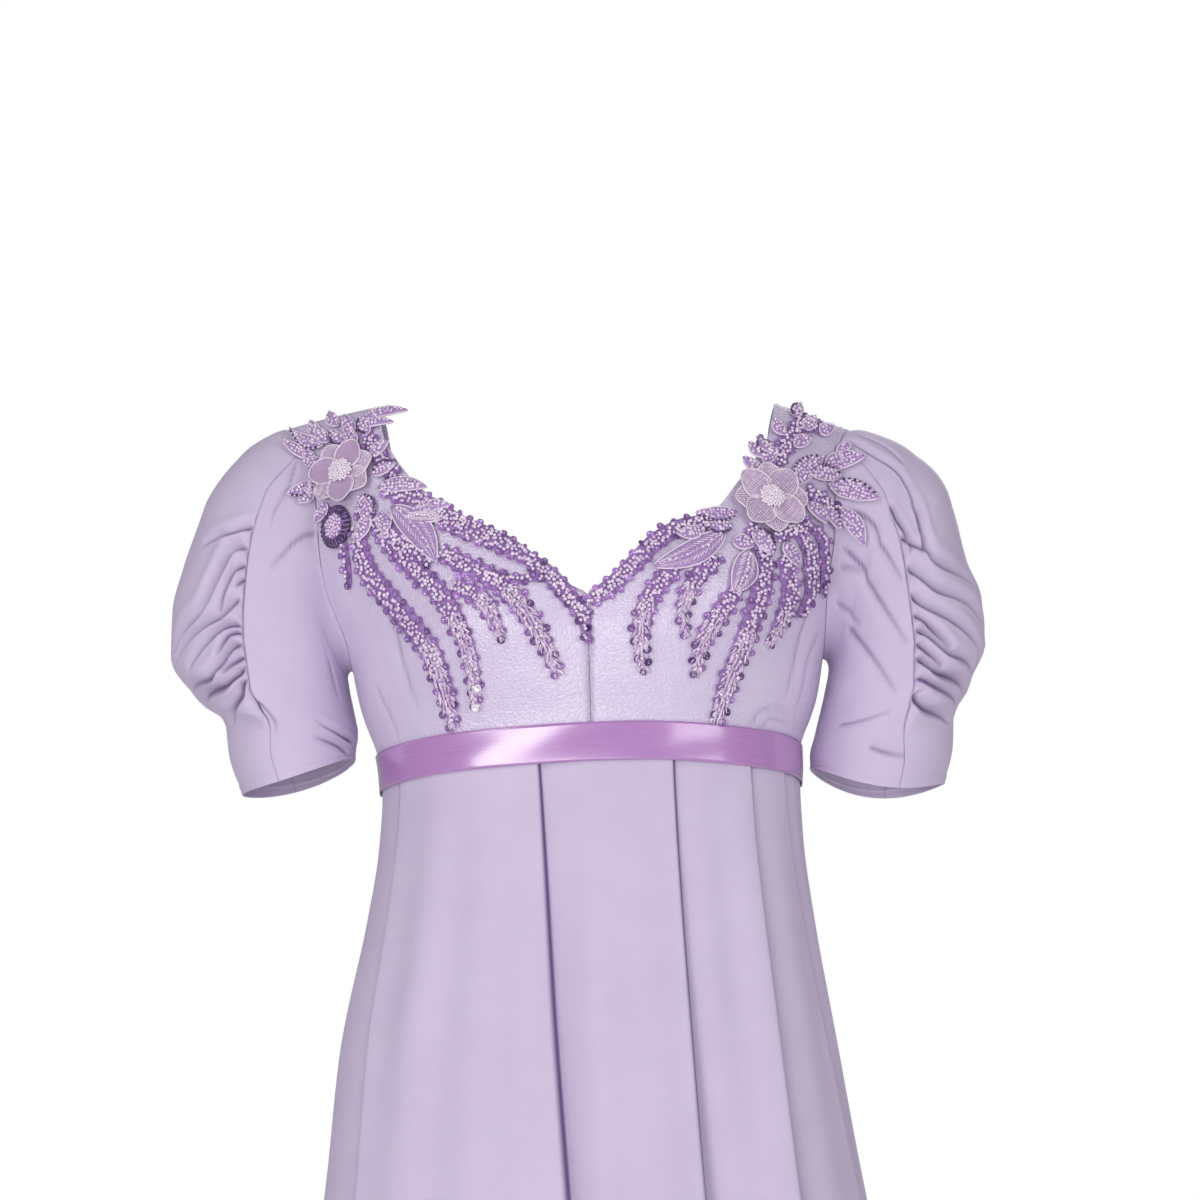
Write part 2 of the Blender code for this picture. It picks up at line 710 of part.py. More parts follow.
for thing in list(bpy.data.objects):
    bpy.data.objects.remove(thing, do_unlink=True)
GOWN = bpy.data.collections.new("regency_gown")
bpy.context.scene.collection.children.link(GOWN)

add_bodice()
add_sleeves()
add_skirt()
add_ribbon()
add_lace()
add_flowers()
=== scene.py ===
# %% [markdown]
# # A regency gown
# An empire-line evening gown is cut and sewn from flat cloth: fronts, backs, a pleated skirt, gathered
# sleeves, a satin ribbon and beaded lace. The solid model already holds each piece as a plain wall in its
# place. Here each piece is made again as thin, creased cloth on the same form, and the beads, sequins,
# leaves and flowers are sewn on. All lengths are metres; tables are in millimetres.
# %% Load the frame
import math

import bpy
import numpy as np
from mathutils import Euler, Matrix, Quaternion, Vector


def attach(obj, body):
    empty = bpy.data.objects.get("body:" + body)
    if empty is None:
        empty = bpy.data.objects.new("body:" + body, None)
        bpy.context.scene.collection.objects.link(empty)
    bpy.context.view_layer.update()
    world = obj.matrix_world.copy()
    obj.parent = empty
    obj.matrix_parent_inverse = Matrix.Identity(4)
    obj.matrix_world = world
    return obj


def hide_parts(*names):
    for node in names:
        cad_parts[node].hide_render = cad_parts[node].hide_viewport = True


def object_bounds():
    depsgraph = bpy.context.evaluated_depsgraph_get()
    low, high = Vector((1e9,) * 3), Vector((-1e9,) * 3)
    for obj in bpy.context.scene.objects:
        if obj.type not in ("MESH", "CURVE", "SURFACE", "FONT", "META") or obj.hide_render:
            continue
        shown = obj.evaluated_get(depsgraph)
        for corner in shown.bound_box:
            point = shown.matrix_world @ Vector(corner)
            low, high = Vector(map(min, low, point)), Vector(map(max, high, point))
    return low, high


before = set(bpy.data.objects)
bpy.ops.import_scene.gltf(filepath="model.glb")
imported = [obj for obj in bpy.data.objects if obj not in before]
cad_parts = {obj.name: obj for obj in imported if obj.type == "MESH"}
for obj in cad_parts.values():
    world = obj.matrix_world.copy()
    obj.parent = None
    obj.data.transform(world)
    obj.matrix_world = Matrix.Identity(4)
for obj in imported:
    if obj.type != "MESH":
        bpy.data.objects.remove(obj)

CAD_LOW, CAD_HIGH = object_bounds()
MM = 0.001
print(len(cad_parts), "nodes, box", [round(v, 3) for v in (*CAD_LOW, *CAD_HIGH)])

# %% [markdown]
# The gown is seen from the front, a little below the ribbon, by a long lens that looks slightly up. The
# camera comes first because every later choice of fineness depends on how large a millimetre looks.
# %% Camera
CAMERA_PLACE = (0.008, -1.65, -0.403)
LOOK_UP = math.radians(9)
ROLL = math.radians(-1.6)
camera = bpy.data.objects.new("camera", bpy.data.cameras.new("camera"))
bpy.context.scene.collection.objects.link(camera)
camera.data.sensor_width = 36
camera.data.lens = 72.8
camera.data.clip_start = 0.05
turned = Euler((math.pi / 2 + LOOK_UP, 0, 0)).to_matrix().to_4x4() @ Matrix.Rotation(ROLL, 4, "Z")
camera.matrix_world = Matrix.Translation(CAMERA_PLACE) @ turned
bpy.context.scene.camera = camera

# %% [markdown]
# Studio light for lilac cloth has to be soft and nearly white, so that the creases show and the colour stays
# clean. One long softbox lies slanting to the left of the camera, a little below the ribbon, where the satin
# mirrors it as a bright bar with a slanted end. Others stand high, right, low and behind. A white room fills
# the shadows.
# %% Lights, room and floor
bpy.context.scene.view_settings.view_transform = "Standard"


def softbox(name, place, target, size, power, width=None, roll=0.0):
    """An area light of that size and power at a place, turned to face a target and rolled by degrees."""
    lamp = bpy.data.lights.new(name, "AREA")
    lamp.energy = power
    lamp.shape = "RECTANGLE"
    lamp.size = width or size
    lamp.size_y = size
    thing = bpy.data.objects.new(name, lamp)
    thing.location = place
    facing = (Vector(target) - Vector(place)).to_track_quat("-Z", "Y")
    thing.rotation_euler = (facing @ Quaternion((0, 0, 1), math.radians(roll))).to_euler()
    bpy.context.scene.collection.objects.link(thing)


softbox("key", (-0.93, -2.1, -0.36), (0, 0, -0.3), 0.5, 17.5, width=1.75, roll=-18)
softbox("high", (-1.2, -1.7, 1.4), (0, 0, -0.35), 0.8, 9)
softbox("fill", (1.7, -2.1, 0.2), (0, 0, -0.3), 1.4, 18)
softbox("low", (0.0, -2.2, -0.95), (0, 0, -0.2), 0.5, 4.5, width=0.7)
softbox("behind", (0.6, 2.6, 1.2), (0, 0, -0.5), 1.8, 42)

room = bpy.data.worlds.new("white_room")
bpy.context.scene.world = room
room.use_nodes = True
tree = room.node_tree
tree.nodes.clear()
seen = tree.nodes.new("ShaderNodeBackground")
seen.inputs["Color"].default_value = (1, 1, 1, 1)
seen.inputs["Strength"].default_value = 1.0
fills = tree.nodes.new("ShaderNodeBackground")
fills.inputs["Color"].default_value = (0.97, 0.97, 1, 1)
fills.inputs["Strength"].default_value = 0.275
either = tree.nodes.new("ShaderNodeMixShader")
ray = tree.nodes.new("ShaderNodeLightPath")
output = tree.nodes.new("ShaderNodeOutputWorld")
tree.links.new(ray.outputs["Is Camera Ray"], either.inputs[0])
tree.links.new(fills.outputs[0], either.inputs[1])
tree.links.new(seen.outputs[0], either.inputs[2])
tree.links.new(either.outputs[0], output.inputs["Surface"])

FLOOR = CAD_LOW.z - 0.025
side = np.array([-6.0, 6.0])
corners = np.stack(np.meshgrid(side, side), axis=-1).reshape(4, 2)
floor_mesh = bpy.data.meshes.new("floor")
floor_mesh.from_pydata([(x, y, FLOOR) for x, y in corners], [], [(0, 1, 3, 2)])
floor = bpy.data.objects.new("floor", floor_mesh)
bpy.context.scene.collection.objects.link(floor)
paint = bpy.data.materials.new("pale_floor")
paint.use_nodes = True
tree = paint.node_tree
wear = tree.nodes.new("ShaderNodeTexNoise")
wear.inputs["Scale"].default_value = 3
tree.links.new(tree.nodes.new("ShaderNodeTexCoord").outputs["Object"], wear.inputs["Vector"])
pale = tree.nodes.new("ShaderNodeValToRGB")
pale.color_ramp.elements[0].color = (0.82, 0.82, 0.83, 1)
pale.color_ramp.elements[1].color = (0.86, 0.86, 0.86, 1)
tree.links.new(wear.outputs["Fac"], pale.inputs["Fac"])
tree.links.new(pale.outputs["Color"], tree.nodes["Principled BSDF"].inputs["Base Color"])
floor_mesh.materials.append(paint)
print("camera, five lights, and a floor at", round(FLOOR, 3))

# %% [markdown]
# The form under the gown is a stack of squarish oval sections. Each section is read from a short table by
# height, and everything else is drawn on it: the panels, their seams and the pleats. The same sizes as
# the solid model's are used, because the cloth has to lie where the solids are.
# %% Sizes of the form
QUARTER = math.pi / 2
SEAM = 0.14 * MM  # gap between neighbouring pieces
EMPIRE = -250 * MM  # level of the seam under the bust, at the middle of the ribbon
RIBBON_WIDTH = 25 * MM
HEM = -1390 * MM
STRAP_INNER = 133 * MM  # where a strap starts, from the centre
SHOULDER_DROP = {"right": 4 * MM, "left": 10 * MM}
SHOULDER_FALL = {"right": 0.17, "left": 0.36}
SIDE_DIP = 11 * MM  # how much lower the empire seam lies at the sides than at the front
BACK_DIP = 7 * MM  # and at the centre back
RIBBON_WALL = 0.6 * MM
PANEL_RADIUS = 115 * MM  # of a front, which makes a length of a turn
SLEEVE_RADIUS = 55 * MM
ROUNDNESS = 2.3  # exponent of the oval sections: 2 is an ellipse, more is squarer
ARM_LEVEL = -91 * MM  # middle of the armhole
ARM_HEIGHT = 91 * MM
ARM_DEPTH = 45 * MM
ARM_WAIST = 0.22  # how much narrower the armhole is at the shoulder than under the arm
SLEEVE_CLEAR = 0.3 * MM  # the sleeve's first ring stands this far off the armhole's edge
SLEEVE_SEAM = 0.14 * MM  # gap between a sleeve's panels
SHOULDER_SEAM = 0.5 * MM

FORM = """
level  right left  front back
-1390  305   300   250   262
-1000  253   245   202   215
-700   210   200   160   175
-520   184   170   133   146
-435   174   158   122   130
-350   155   146   114   114
-300   146   141   110   106
-262   143   140   107   101
-240   145   141   108   101
-205   157   154   116   105
-172   165   161   122   109
-140   182   168   122   111
-110   190   176   115   109
-75    194   180   101   102
-45    200   184   82    86
-22    205   187   61    65
-8     208   188   46    49
-3     209   189   36    38
-1     209   189   24    25
0      209   189   0     0
"""

# The neck edge, from the centre outwards: distance from the centre and level.
NECK_RIGHT = """
across level
0.15   -158
10     -151
20     -140
36     -128
55     -113
79     -103
98     -87
110    -75
124    -55
136    -28
140    0
"""
NECK_LEFT = """
across level
0.15   -158
9      -150
19     -142
37     -125
47     -116
71     -108
86     -99
98     -83
113    -61
125    -36
132    0
"""
NECK_BACK_RIGHT = """
across level
0.15   -127
24     -123
48     -111
80     -93
106    -73
127    -50
138    -24
140    0
"""
NECK_BACK_LEFT = """
across level
0.15   -127
24     -123
46     -110
74     -92
98     -72
117    -50
129    -24
132    0
"""

# %% Reading the tables
def table(text):
    """The columns of a table by name, lengths in millimetres."""
    lines = [line.split() for line in text.strip().splitlines()]
    return dict(zip(lines[0], np.array([[float(cell) for cell in line] for line in lines[1:]]).T))


def curve(knots, values, at):
    """A smooth curve through values at rising knots that never overshoots them."""
    step = np.diff(knots)
    slope = np.diff(values) / step
    total = slope[1:] + slope[:-1]
    same_way = slope[1:] * slope[:-1] > 0
    inner = np.where(same_way, 2 * slope[1:] * slope[:-1] / np.where(same_way, total, 1), 0)
    tangent = np.concatenate([[slope[0]], inner, [slope[-1]]])
    i = np.clip(np.searchsorted(knots, at, side="right") - 1, 0, len(step) - 1)
    t = (at - knots[i]) / step[i]
    ends = values[i] * (1 + 2 * t) * (1 - t) ** 2 + values[i + 1] * t * t * (3 - 2 * t)
    return ends + step[i] * t * (1 - t) * (tangent[i] * (1 - t) - tangent[i + 1] * t)


FORM_COLUMNS = table(FORM)


def half_width_at(column, level):
    return curve(FORM_COLUMNS["level"] * MM, FORM_COLUMNS[column] * MM, level)


def half_depth_at(column, level):
    """Squares are smoothed, so that the shoulders end in a round top."""
    squares = curve(FORM_COLUMNS["level"] * MM, (FORM_COLUMNS[column] * MM) ** 2, level)
    return np.sqrt(np.maximum(squares, 0))

# %% Points on the form
def rounded(value):
    """A sine or cosine bent so that a circle becomes the form's squarer oval."""
    return np.sign(value) * np.abs(value) ** (2 / ROUNDNESS)


def form(turn, level, out=0.0):
    """Points of the body form, moved out by a distance: oval sections with a soft bust, falling shoulders
    and an empire line that dips at the sides."""
    across = rounded(np.sin(turn))
    ahead = rounded(np.cos(turn))
    half_width = np.where(across > 0, half_width_at("left", level), half_width_at("right", level))
    half_depth = np.where(ahead > 0, half_depth_at("front", level), half_depth_at("back", level))
    x = across * half_width
    y = -ahead * half_depth
    cup = np.exp(-(((np.abs(x) - 70 * MM) / (50 * MM)) ** 2) - ((level + 165 * MM) / (45 * MM)) ** 2)
    y = y - np.where(ahead > 0, 10 * MM * cup, 0)
    drop = np.where(across > 0, SHOULDER_DROP["left"], SHOULDER_DROP["right"])
    slope = np.where(across > 0, SHOULDER_FALL["left"], SHOULDER_FALL["right"])
    near_shoulder = np.clip(1 + level / (100 * MM), 0, 1) ** 2
    fall = (drop + slope * np.maximum(np.abs(x) - STRAP_INNER, 0)) * near_shoulder
    front_dip = SIDE_DIP * (1 - np.abs(ahead)) ** 0.8
    dip = np.where(ahead > 0, front_dip, SIDE_DIP + (BACK_DIP - SIDE_DIP) * -ahead)
    above_seam = np.clip((-150 * MM - level) / (70 * MM), 0, 1)
    below_seam = np.clip((level + 700 * MM) / (400 * MM), 0, 1)
    z = level - fall - dip * above_seam * below_seam
    points = np.stack([x, y, z], axis=-1)
    if np.any(out):
        points = points + outward(turn, level) * np.asarray(out)[..., None]
    return points


def outward(turn, level):
    """The form's unit normals, from small steps round it and up it."""
    step = 0.004
    round_it = form(turn + step, level) - form(turn - step, level)
    up_it = form(turn, np.minimum(level + 2 * MM, -1 * MM)) - form(turn, level - 2 * MM)
    normal = np.cross(round_it, up_it)
    return normal / np.linalg.norm(normal, axis=-1, keepdims=True)


def turn_at(across, level, back=False):
    """The turn at which a section reaches a distance from the centre, positive to the wearer's left."""
    half_width = np.where(across > 0, half_width_at("left", level), half_width_at("right", level))
    share = np.clip(np.abs(across) / half_width, 0, 1)
    turn = np.sign(across) * np.arcsin(share ** (ROUNDNESS / 2))
    return np.where(back, np.sign(across) * math.pi - turn, turn)

# %% [markdown]
# Cloth is a grid of points with a row for each line across and a column for each line along. A grid
# becomes a mesh of quads in one step, and Solidify then gives the sheet its two faces and closed edges.
# A map in real millimetres is stored with it, so that a woven or satin pattern keeps its scale.
# %% From a grid to cloth
CLOTH = 1.0 * MM


def grid_quads(rows, columns, closed=False):
    """Corner numbers of every quad of a grid, row by row; closed joins the last column to the first."""
    index = np.arange(rows * columns).reshape(rows, columns)
    first = index if closed else index[:, :-1]
    following = np.roll(index, -1, axis=1) if closed else index[:, 1:]
    return np.stack([first[:-1], following[:-1], following[1:], first[1:]], axis=-1).reshape(-1, 4)


def mesh_from(name, vertices, faces):
    """A mesh from a vertex array and an array of faces that all have the same number of corners."""
    mesh = bpy.data.meshes.new(name)
    count, corners = faces.shape
    mesh.vertices.add(len(vertices))
    mesh.vertices.foreach_set("co", np.ascontiguousarray(vertices, dtype=np.float32).ravel())
    mesh.loops.add(count * corners)
    mesh.loops.foreach_set("vertex_index", faces.astype(np.int32).ravel())
    mesh.polygons.add(count)
    mesh.polygons.foreach_set("loop_start", np.arange(0, count * corners, corners, dtype=np.int32))
    mesh.update(calc_edges=True)
    mesh.polygons.foreach_set("use_smooth", np.ones(count, dtype=bool))
    return mesh


def outward_quads(points, centres, quads):
    """The quads, turned over if most of them face the centres."""
    corners = points.reshape(-1, 3)[quads]
    normals = np.cross(corners[:, 2] - corners[:, 0], corners[:, 3] - corners[:, 1])
    middles = np.broadcast_to(centres, points.shape).reshape(-1, 3)[quads].mean(axis=1)
    away = corners.mean(axis=1) - middles
    return quads[:, ::-1] if (normals * away).sum() < 0 else quads


def middle_line(points):
    """For each point, the point of the gown's upright middle line at its height."""
    return points * np.array([0, 0, 1])


def span(points, axis):
    """Length from the first row or column to each point, along that axis."""
    steps = np.linalg.norm(np.diff(points, axis=axis), axis=-1)
    return np.concatenate([np.zeros_like(steps.take([0], axis=axis)), np.cumsum(steps, axis=axis)], axis=axis)


def sew(name, mesh, material, slot, *nodes, wall=CLOTH, outwards=False):
    """A piece of the gown: an object at the origin with its material, wall and place in the frame."""
    mesh.materials.append(material)
    piece = bpy.data.objects.new(name, mesh)
    bpy.context.scene.collection.objects.link(piece)
    if wall:
        solid = piece.modifiers.new("wall", "SOLIDIFY")
        solid.thickness = wall
        solid.offset = 1 if outwards else -1
        solid.use_even_offset = False
    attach(piece, "root")
    if nodes:
        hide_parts(*nodes)
    return piece


def store(mesh, name, values):
    """A number for every point of the mesh, which its material can read."""
    layer = mesh.attributes.new(name, "FLOAT", "POINT")
    layer.data.foreach_set("value", np.ascontiguousarray(values, dtype=np.float32).ravel())


def cloth_piece(name, points, material, slot, *nodes, centres=None, closed=False, painted_shade=None, **how):
    """Cloth from a grid of points, with a map in metres along its rows and columns, and a painted shade for
    each point, from 0 to 1, which darkens the cloth's colour in creases."""
    centres = middle_line(points) if centres is None else centres
    quads = outward_quads(points, centres, grid_quads(*points.shape[:2], closed))
    mesh = mesh_from(name, points.reshape(-1, 3), quads)
    flat = np.stack([span(points, 1), span(points, 0)], axis=-1).reshape(-1, 2)
    layer = mesh.uv_layers.new(name="cloth")
    layer.data.foreach_set("uv", flat[quads.ravel()].astype(np.float32).ravel())
    if painted_shade is not None:
        store(mesh, "painted_shade", painted_shade)
    return sew(name, mesh, material, slot, *nodes, **how)


# %% [markdown]
# A crease in worn cloth is a soft trough with a puffed lip beside it, steep on the side that hangs over and
# shallow on the other. Each one is listed as a short line on the flat of its panel, and its height falls off
# with the distance from that line, so that creases can be uneven as real ones are.
# %% Creases
def crease(flat, line, depth, steep, soft, lip=0.25):
    """The height is minus the depth times exp(-distance / width), where width is steep on the left of the
    line and soft on its right, plus a lip 1.8 widths away, both fading towards the line's far end. The
    painted shade, which darkens the cloth's colour along the bottom of the crease, from 0 to 1, is
    exp(-(distance / 1.2 mm) squared), less for creases under 3.5 mm deep."""
    step = np.diff(line, axis=0)
    offset = flat[..., None, :] - line[:-1]
    along = np.clip((offset * step).sum(-1) / (step * step).sum(-1), 0, 1)
    gap = offset - along[..., None] * step
    distance = np.linalg.norm(gap, axis=-1)
    nearest = distance.argmin(axis=-1)[..., None]
    turn = step[:, 0] * offset[..., 1] - step[:, 1] * offset[..., 0]
    right = np.take_along_axis(turn, nearest, -1)[..., 0] > 0
    reach = np.take_along_axis(distance, nearest, -1)[..., 0]
    share = (nearest[..., 0] + np.take_along_axis(along, nearest, -1)[..., 0]) / len(step)
    width = np.where(right, soft, steep)
    close = np.sqrt(reach**2 + (0.35 * MM) ** 2)
    trough = np.exp(-close / width)
    puff = lip * np.exp(-(((reach - 1.8 * width) / width) ** 2))
    fade = (1 - 0.7 * share**2.5) * np.clip(0.25 + share / 0.12, 0, 1)
    shade = np.exp(-((reach / (1.2 * MM)) ** 2)) * fade * np.clip(depth / (3.5 * MM), 0, 1)
    return depth * (puff - trough) * fade, shade


def smooth_line(points, count=14):
    """A smooth line through a few points: each coordinate is a curve over the length so far."""
    points = np.asarray(points, dtype=float)
    length = np.concatenate([[0], np.cumsum(np.linalg.norm(np.diff(points, axis=0), axis=1))])
    at = np.linspace(0, length[-1], count)
    return np.stack([curve(length, points[:, i], at) for i in range(points.shape[1])], axis=-1)


def lines_of(text):
    """A table of lines: each has a number, its points in order, and its own sizes on every row."""
    rows = table(text)
    numbers = rows.pop("line")
    return [{name: values[numbers == number] for name, values in rows.items()}
            for number in np.unique(numbers)]


def normals_of(points):
    """Unit normals of a grid, from the cross product of its rows' and columns' directions."""
    normal = np.cross(np.gradient(points, axis=1), np.gradient(points, axis=0))
    return normal / np.maximum(np.linalg.norm(normal, axis=-1, keepdims=True), 1e-12)


def pushed(points, height, centres):
    """The grid moved out along its normals, away from the centres, by a height at each point."""
    normal = normals_of(points)
    facing = np.sign(((points - centres) * normal).sum(-1, keepdims=True))
    return points + normal * facing * height[..., None]


# %% [markdown]
# The cloth is a lilac crepe with a satin back: matt from afar, pebbled close up, and with a faint bloom
# where it turns away. Noise of two sizes gives the pebble, a slow noise the slight unevenness of the dye, and
# the sheen lobe the bloom. The bodice is lined smooth, so its pebbles catch the light and sparkle.
# %% Cloth materials
def shader_of(name, roughness, **sockets):
    """A Principled material; returns it with its node tree and shader. Sockets are set by name."""
    material = bpy.data.materials.new(name)
    material.use_nodes = True
    tree = material.node_tree
    shader = tree.nodes["Principled BSDF"]
    shader.inputs["Roughness"].default_value = roughness
    for socket, value in sockets.items():
        shader.inputs[socket.replace("_", " ")].default_value = value
    return material, tree, shader


def noise_on(tree, source, scale, detail=2.0):
    """A noise texture of that many grains a metre on a coordinate output."""
    noise = tree.nodes.new("ShaderNodeTexNoise")
    noise.inputs["Scale"].default_value = scale
    noise.inputs["Detail"].default_value = detail
    tree.links.new(source, noise.inputs["Vector"])
    return noise.outputs["Fac"]


def colour_between(tree, amount, low, high, start=0.3, end=0.7):
    """A colour that runs from low to high as the amount goes from start to end."""
    ramp = tree.nodes.new("ShaderNodeValToRGB")
    ramp.color_ramp.elements[0].position = start
    ramp.color_ramp.elements[1].position = end
    ramp.color_ramp.elements[0].color = (*low, 1)
    ramp.color_ramp.elements[1].color = (*high, 1)
    tree.links.new(amount, ramp.inputs["Fac"])
    return ramp.outputs["Color"]


def bump_from(tree, shader, height, strength, distance, under=None):
    """A bump of that height map on a shader, over another bump if given."""
    bump = tree.nodes.new("ShaderNodeBump")
    bump.inputs["Strength"].default_value = strength
    bump.inputs["Distance"].default_value = distance
    tree.links.new(height, bump.inputs["Height"])
    if under:
        tree.links.new(under.outputs["Normal"], bump.inputs["Normal"])
    tree.links.new(bump.outputs["Normal"], shader.inputs["Normal"])
    return bump


def lilac_crepe(name, painted_light_scale, roughness, pebble, shine, grain):
    """Lilac crepe: slow dye noise in its colour, made lighter or darker by a painted light scale, painted
    shade of deep purple along the bottom of creases, and pebbles of a grain in millimetres over a soft
    crinkle of 4 mm."""
    material, tree, shader = shader_of(
        name, roughness, Sheen_Weight=0.28, Sheen_Roughness=0.45, Sheen_Tint=(0.9, 0.82, 1, 1),
        Specular_IOR_Level=shine)
    place = tree.nodes.new("ShaderNodeTexCoord").outputs["Object"]
    dye = noise_on(tree, place, 26, 3)
    light, dark = np.array([0.66, 0.56, 0.75]) * painted_light_scale, np.array([0.625, 0.527, 0.722]) * painted_light_scale
    cloth = colour_between(tree, dye, dark, light)
    # Painted shade: a number stored on the cloth's points mixes its colour towards deep purple along the
    # bottom of creases and at pleat edges, where shade falls.
    painted_shade = tree.nodes.new("ShaderNodeAttribute")
    painted_shade.attribute_name = "painted_shade"
    deep = tree.nodes.new("ShaderNodeMix")
    deep.data_type = "RGBA"
    deep.inputs["B"].default_value = (0.11, 0.05, 0.2, 1)
    tree.links.new(painted_shade.outputs["Fac"], deep.inputs["Factor"])
    tree.links.new(cloth, deep.inputs["A"])
    tree.links.new(deep.outputs["Result"], shader.inputs["Base Color"])
    crinkle = bump_from(tree, shader, noise_on(tree, place, 250, 2), 0.25, 0.6 * MM)
    bump_from(tree, shader, noise_on(tree, place, 1 / (grain * MM), 1), pebble, 0.4 * grain * MM, crinkle)
    return material


# Painted light: both crepes are one lilac, the bodice's painted about a tenth lighter than the skirt's to
# make up for the lamps lighting it less.
SKIRT_CREPE = lilac_crepe("lilac_crepe", 0.98, 0.62, 0.35, 0.35, 0.7)
BODICE_CREPE = lilac_crepe("lilac_crepe_satin_back", 1.09, 0.25, 1.0, 1.0, 1.5)


def satin_material():
    """Purple satin: fine threads along the ribbon, a stretched highlight and a bound edge."""
    material, tree, shader = shader_of(
        "purple_satin", 0.21, Anisotropic=0.5, Sheen_Weight=0.12, Specular_IOR_Level=1.0,
        Coat_Weight=1.0, Coat_Roughness=0.14)
    flat = tree.nodes.new("ShaderNodeUVMap")
    flat.uv_map = "cloth"
    stretch = tree.nodes.new("ShaderNodeMapping")
    stretch.inputs["Scale"].default_value = (30, 2600, 1)
    tree.links.new(flat.outputs["UV"], stretch.inputs["Vector"])
    threads = noise_on(tree, stretch.outputs["Vector"], 1.0, 2)
    purple = colour_between(tree, threads, (0.44, 0.198, 0.517), (0.525, 0.258, 0.6))
    tree.links.new(purple, shader.inputs["Base Color"])
    bump_from(tree, shader, threads, 0.18, 0.1 * MM)
    return material


PURPLE_SATIN = satin_material()
print("cloth materials:", SKIRT_CREPE.name, BODICE_CREPE.name, PURPLE_SATIN.name)

# %% [markdown]
# The bodice is four panels: two fronts that meet in a seam below the V and two plain backs. A panel lies
# between its inner edge, up the centre seam and along the neck, and its outer edge, up the side seam and
# round the armhole. Straight lines between the two edges, drawn on the form, fill it.
# %% Panel edges
def armhole(side, angle, grow=0.0):
    """Turn and level of the armhole's edge: an egg shape seen from the side. angle is 0 at the shoulder,
    180 degrees under the arm, positive in front."""
    level = ARM_LEVEL + (ARM_HEIGHT + grow) * np.cos(angle)
    depth = -(ARM_DEPTH + grow) * np.sin(angle) * (1 - ARM_WAIST * np.cos(angle))
    half_depth = np.where(angle > 0, half_depth_at("front", level), half_depth_at("back", level))
    share = np.clip(np.abs(depth) / np.maximum(half_depth, 0.01 * MM), 0, 1)
    turn = np.arccos(share ** (ROUNDNESS / 2))
    return side * np.where(angle > 0, turn, math.pi - turn), level


def evenly(turns, levels, count):
    """The same path with a point at the empire seam, the others evenly spaced from the ribbon's top edge,
    measured on the form, and the last one close after them, so that the shoulder seam is flat."""
    spots = form(turns, levels)
    lengths = np.linalg.norm(np.diff(spots, axis=0), axis=1)
    along = np.concatenate([[0], np.cumsum(lengths)])
    ribbon_top = np.interp(EMPIRE + RIBBON_WIDTH / 2, levels[:30], along[:30])
    flat_top = along[-1] - 5 * MM
    wanted = np.concatenate([[0], np.linspace(ribbon_top, flat_top, count - 2), [along[-1]]])
    return np.interp(wanted, along, turns), np.interp(wanted, along, levels)


def neck_path(text, side, back):
    """The panel's inner edge: up the centre seam, then along the neck edge to the strap."""
    rows = table(text)
    across = side * np.concatenate([[rows["across"][0]], rows["across"]]) * MM
    levels = np.concatenate([[EMPIRE / MM + SEAM / MM / 2], rows["level"]]) * MM
    knots = np.arange(len(levels), dtype=float)
    fine = np.linspace(0, knots[-1], 240)
    level = np.where(fine < 1, np.interp(fine, knots, levels), curve(knots, levels, fine))
    width = np.where(fine < 1, np.interp(fine, knots, across), curve(knots, across, fine))
    return turn_at(width, level, back), level


def side_path(side, back):
    """The panel's outer edge: up the side seam, then round half of the armhole to the strap."""
    seam_turn = 0.0008
    turn = QUARTER + seam_turn if back else QUARTER - seam_turn
    up_level = np.linspace(EMPIRE + SEAM / 2, ARM_LEVEL - ARM_HEIGHT, 40)
    angle = np.radians(np.linspace(179, 0.3, 200)) * (-1 if back else 1)
    arm_turn, arm_level = armhole(side, angle)
    return np.concatenate([np.full(40, side * turn), arm_turn]), np.concatenate([up_level, arm_level])


def between(inner, outer, columns):
    """Turns and levels of a panel: straight lines on the form between its two edges."""
    share = np.linspace(0, 1, columns)[None, :]
    return [a[:, None] * (1 - share) + b[:, None] * share for a, b in zip(inner, outer)]


def bodice_flat(text, side, back, rows, columns):
    """Turns and levels of a bodice panel's grid."""
    inner = evenly(*neck_path(text, side, back), rows)
    outer = evenly(*side_path(side, back), rows)
    return between(inner, outer, columns)


def bodice_panel(turn, level, back):
    """The panel on the form, its last row drawn to the shoulder seam."""
    points = form(turn, level)
    points[-1, :, 1] = SHOULDER_SEAM / 2 if back else -SHOULDER_SEAM / 2
    return points

# %% [markdown]
# Real seams show as a fine sunk line where the cloth is pulled in by the stitches. Each panel is let down a
# little near its inner edge for that, and a few small drag creases lie above the ribbon at the side.
# %% Sew the bodice
NECKS = {"right": NECK_RIGHT, "left": NECK_LEFT}
BACK_NECKS = {"right": NECK_BACK_RIGHT, "left": NECK_BACK_LEFT}
SIDES = {"right": -1, "left": 1}
BODICE_CREASES = {
    "right": """
line across level depth width
1    136    -150  1.6   5
1    122    -186  1.6   5
1    112    -218  1.6   5
2    141    -200  1.0   4
2    131    -222  1.0   4
2    126    -238  1.0   4
""",
    "left": """
line across level depth width
1    104    -237  1.2   2.6
1    108    -229  1.2   2.6
1    118    -223  1.2   2.6
1    130    -224  1.2   2.6
2    110    -237  0.8   2.2
2    117    -230  0.8   2.2
2    131    -230  0.8   2.2
3    152    -150  1.8   6
3    138    -182  1.8   6
3    128    -214  1.8   6
4    154    -172  1.2   5
4    143    -196  1.2   5
4    136    -220  1.2   5
""",
}


def sunk_edge(points, axis, depth=0.3 * MM, width=0.9 * MM):
    """Minus the depth times exp(-(distance from the grid's first line / width) squared)."""
    return -depth * np.exp(-((span(points, axis) / width) ** 2))


def front_flat(side, across, level):
    """A place on the flat of a front: the turn times the panel's radius, and the level."""
    return np.stack([side * turn_at(side * across, level) * PANEL_RADIUS, level], axis=-1)


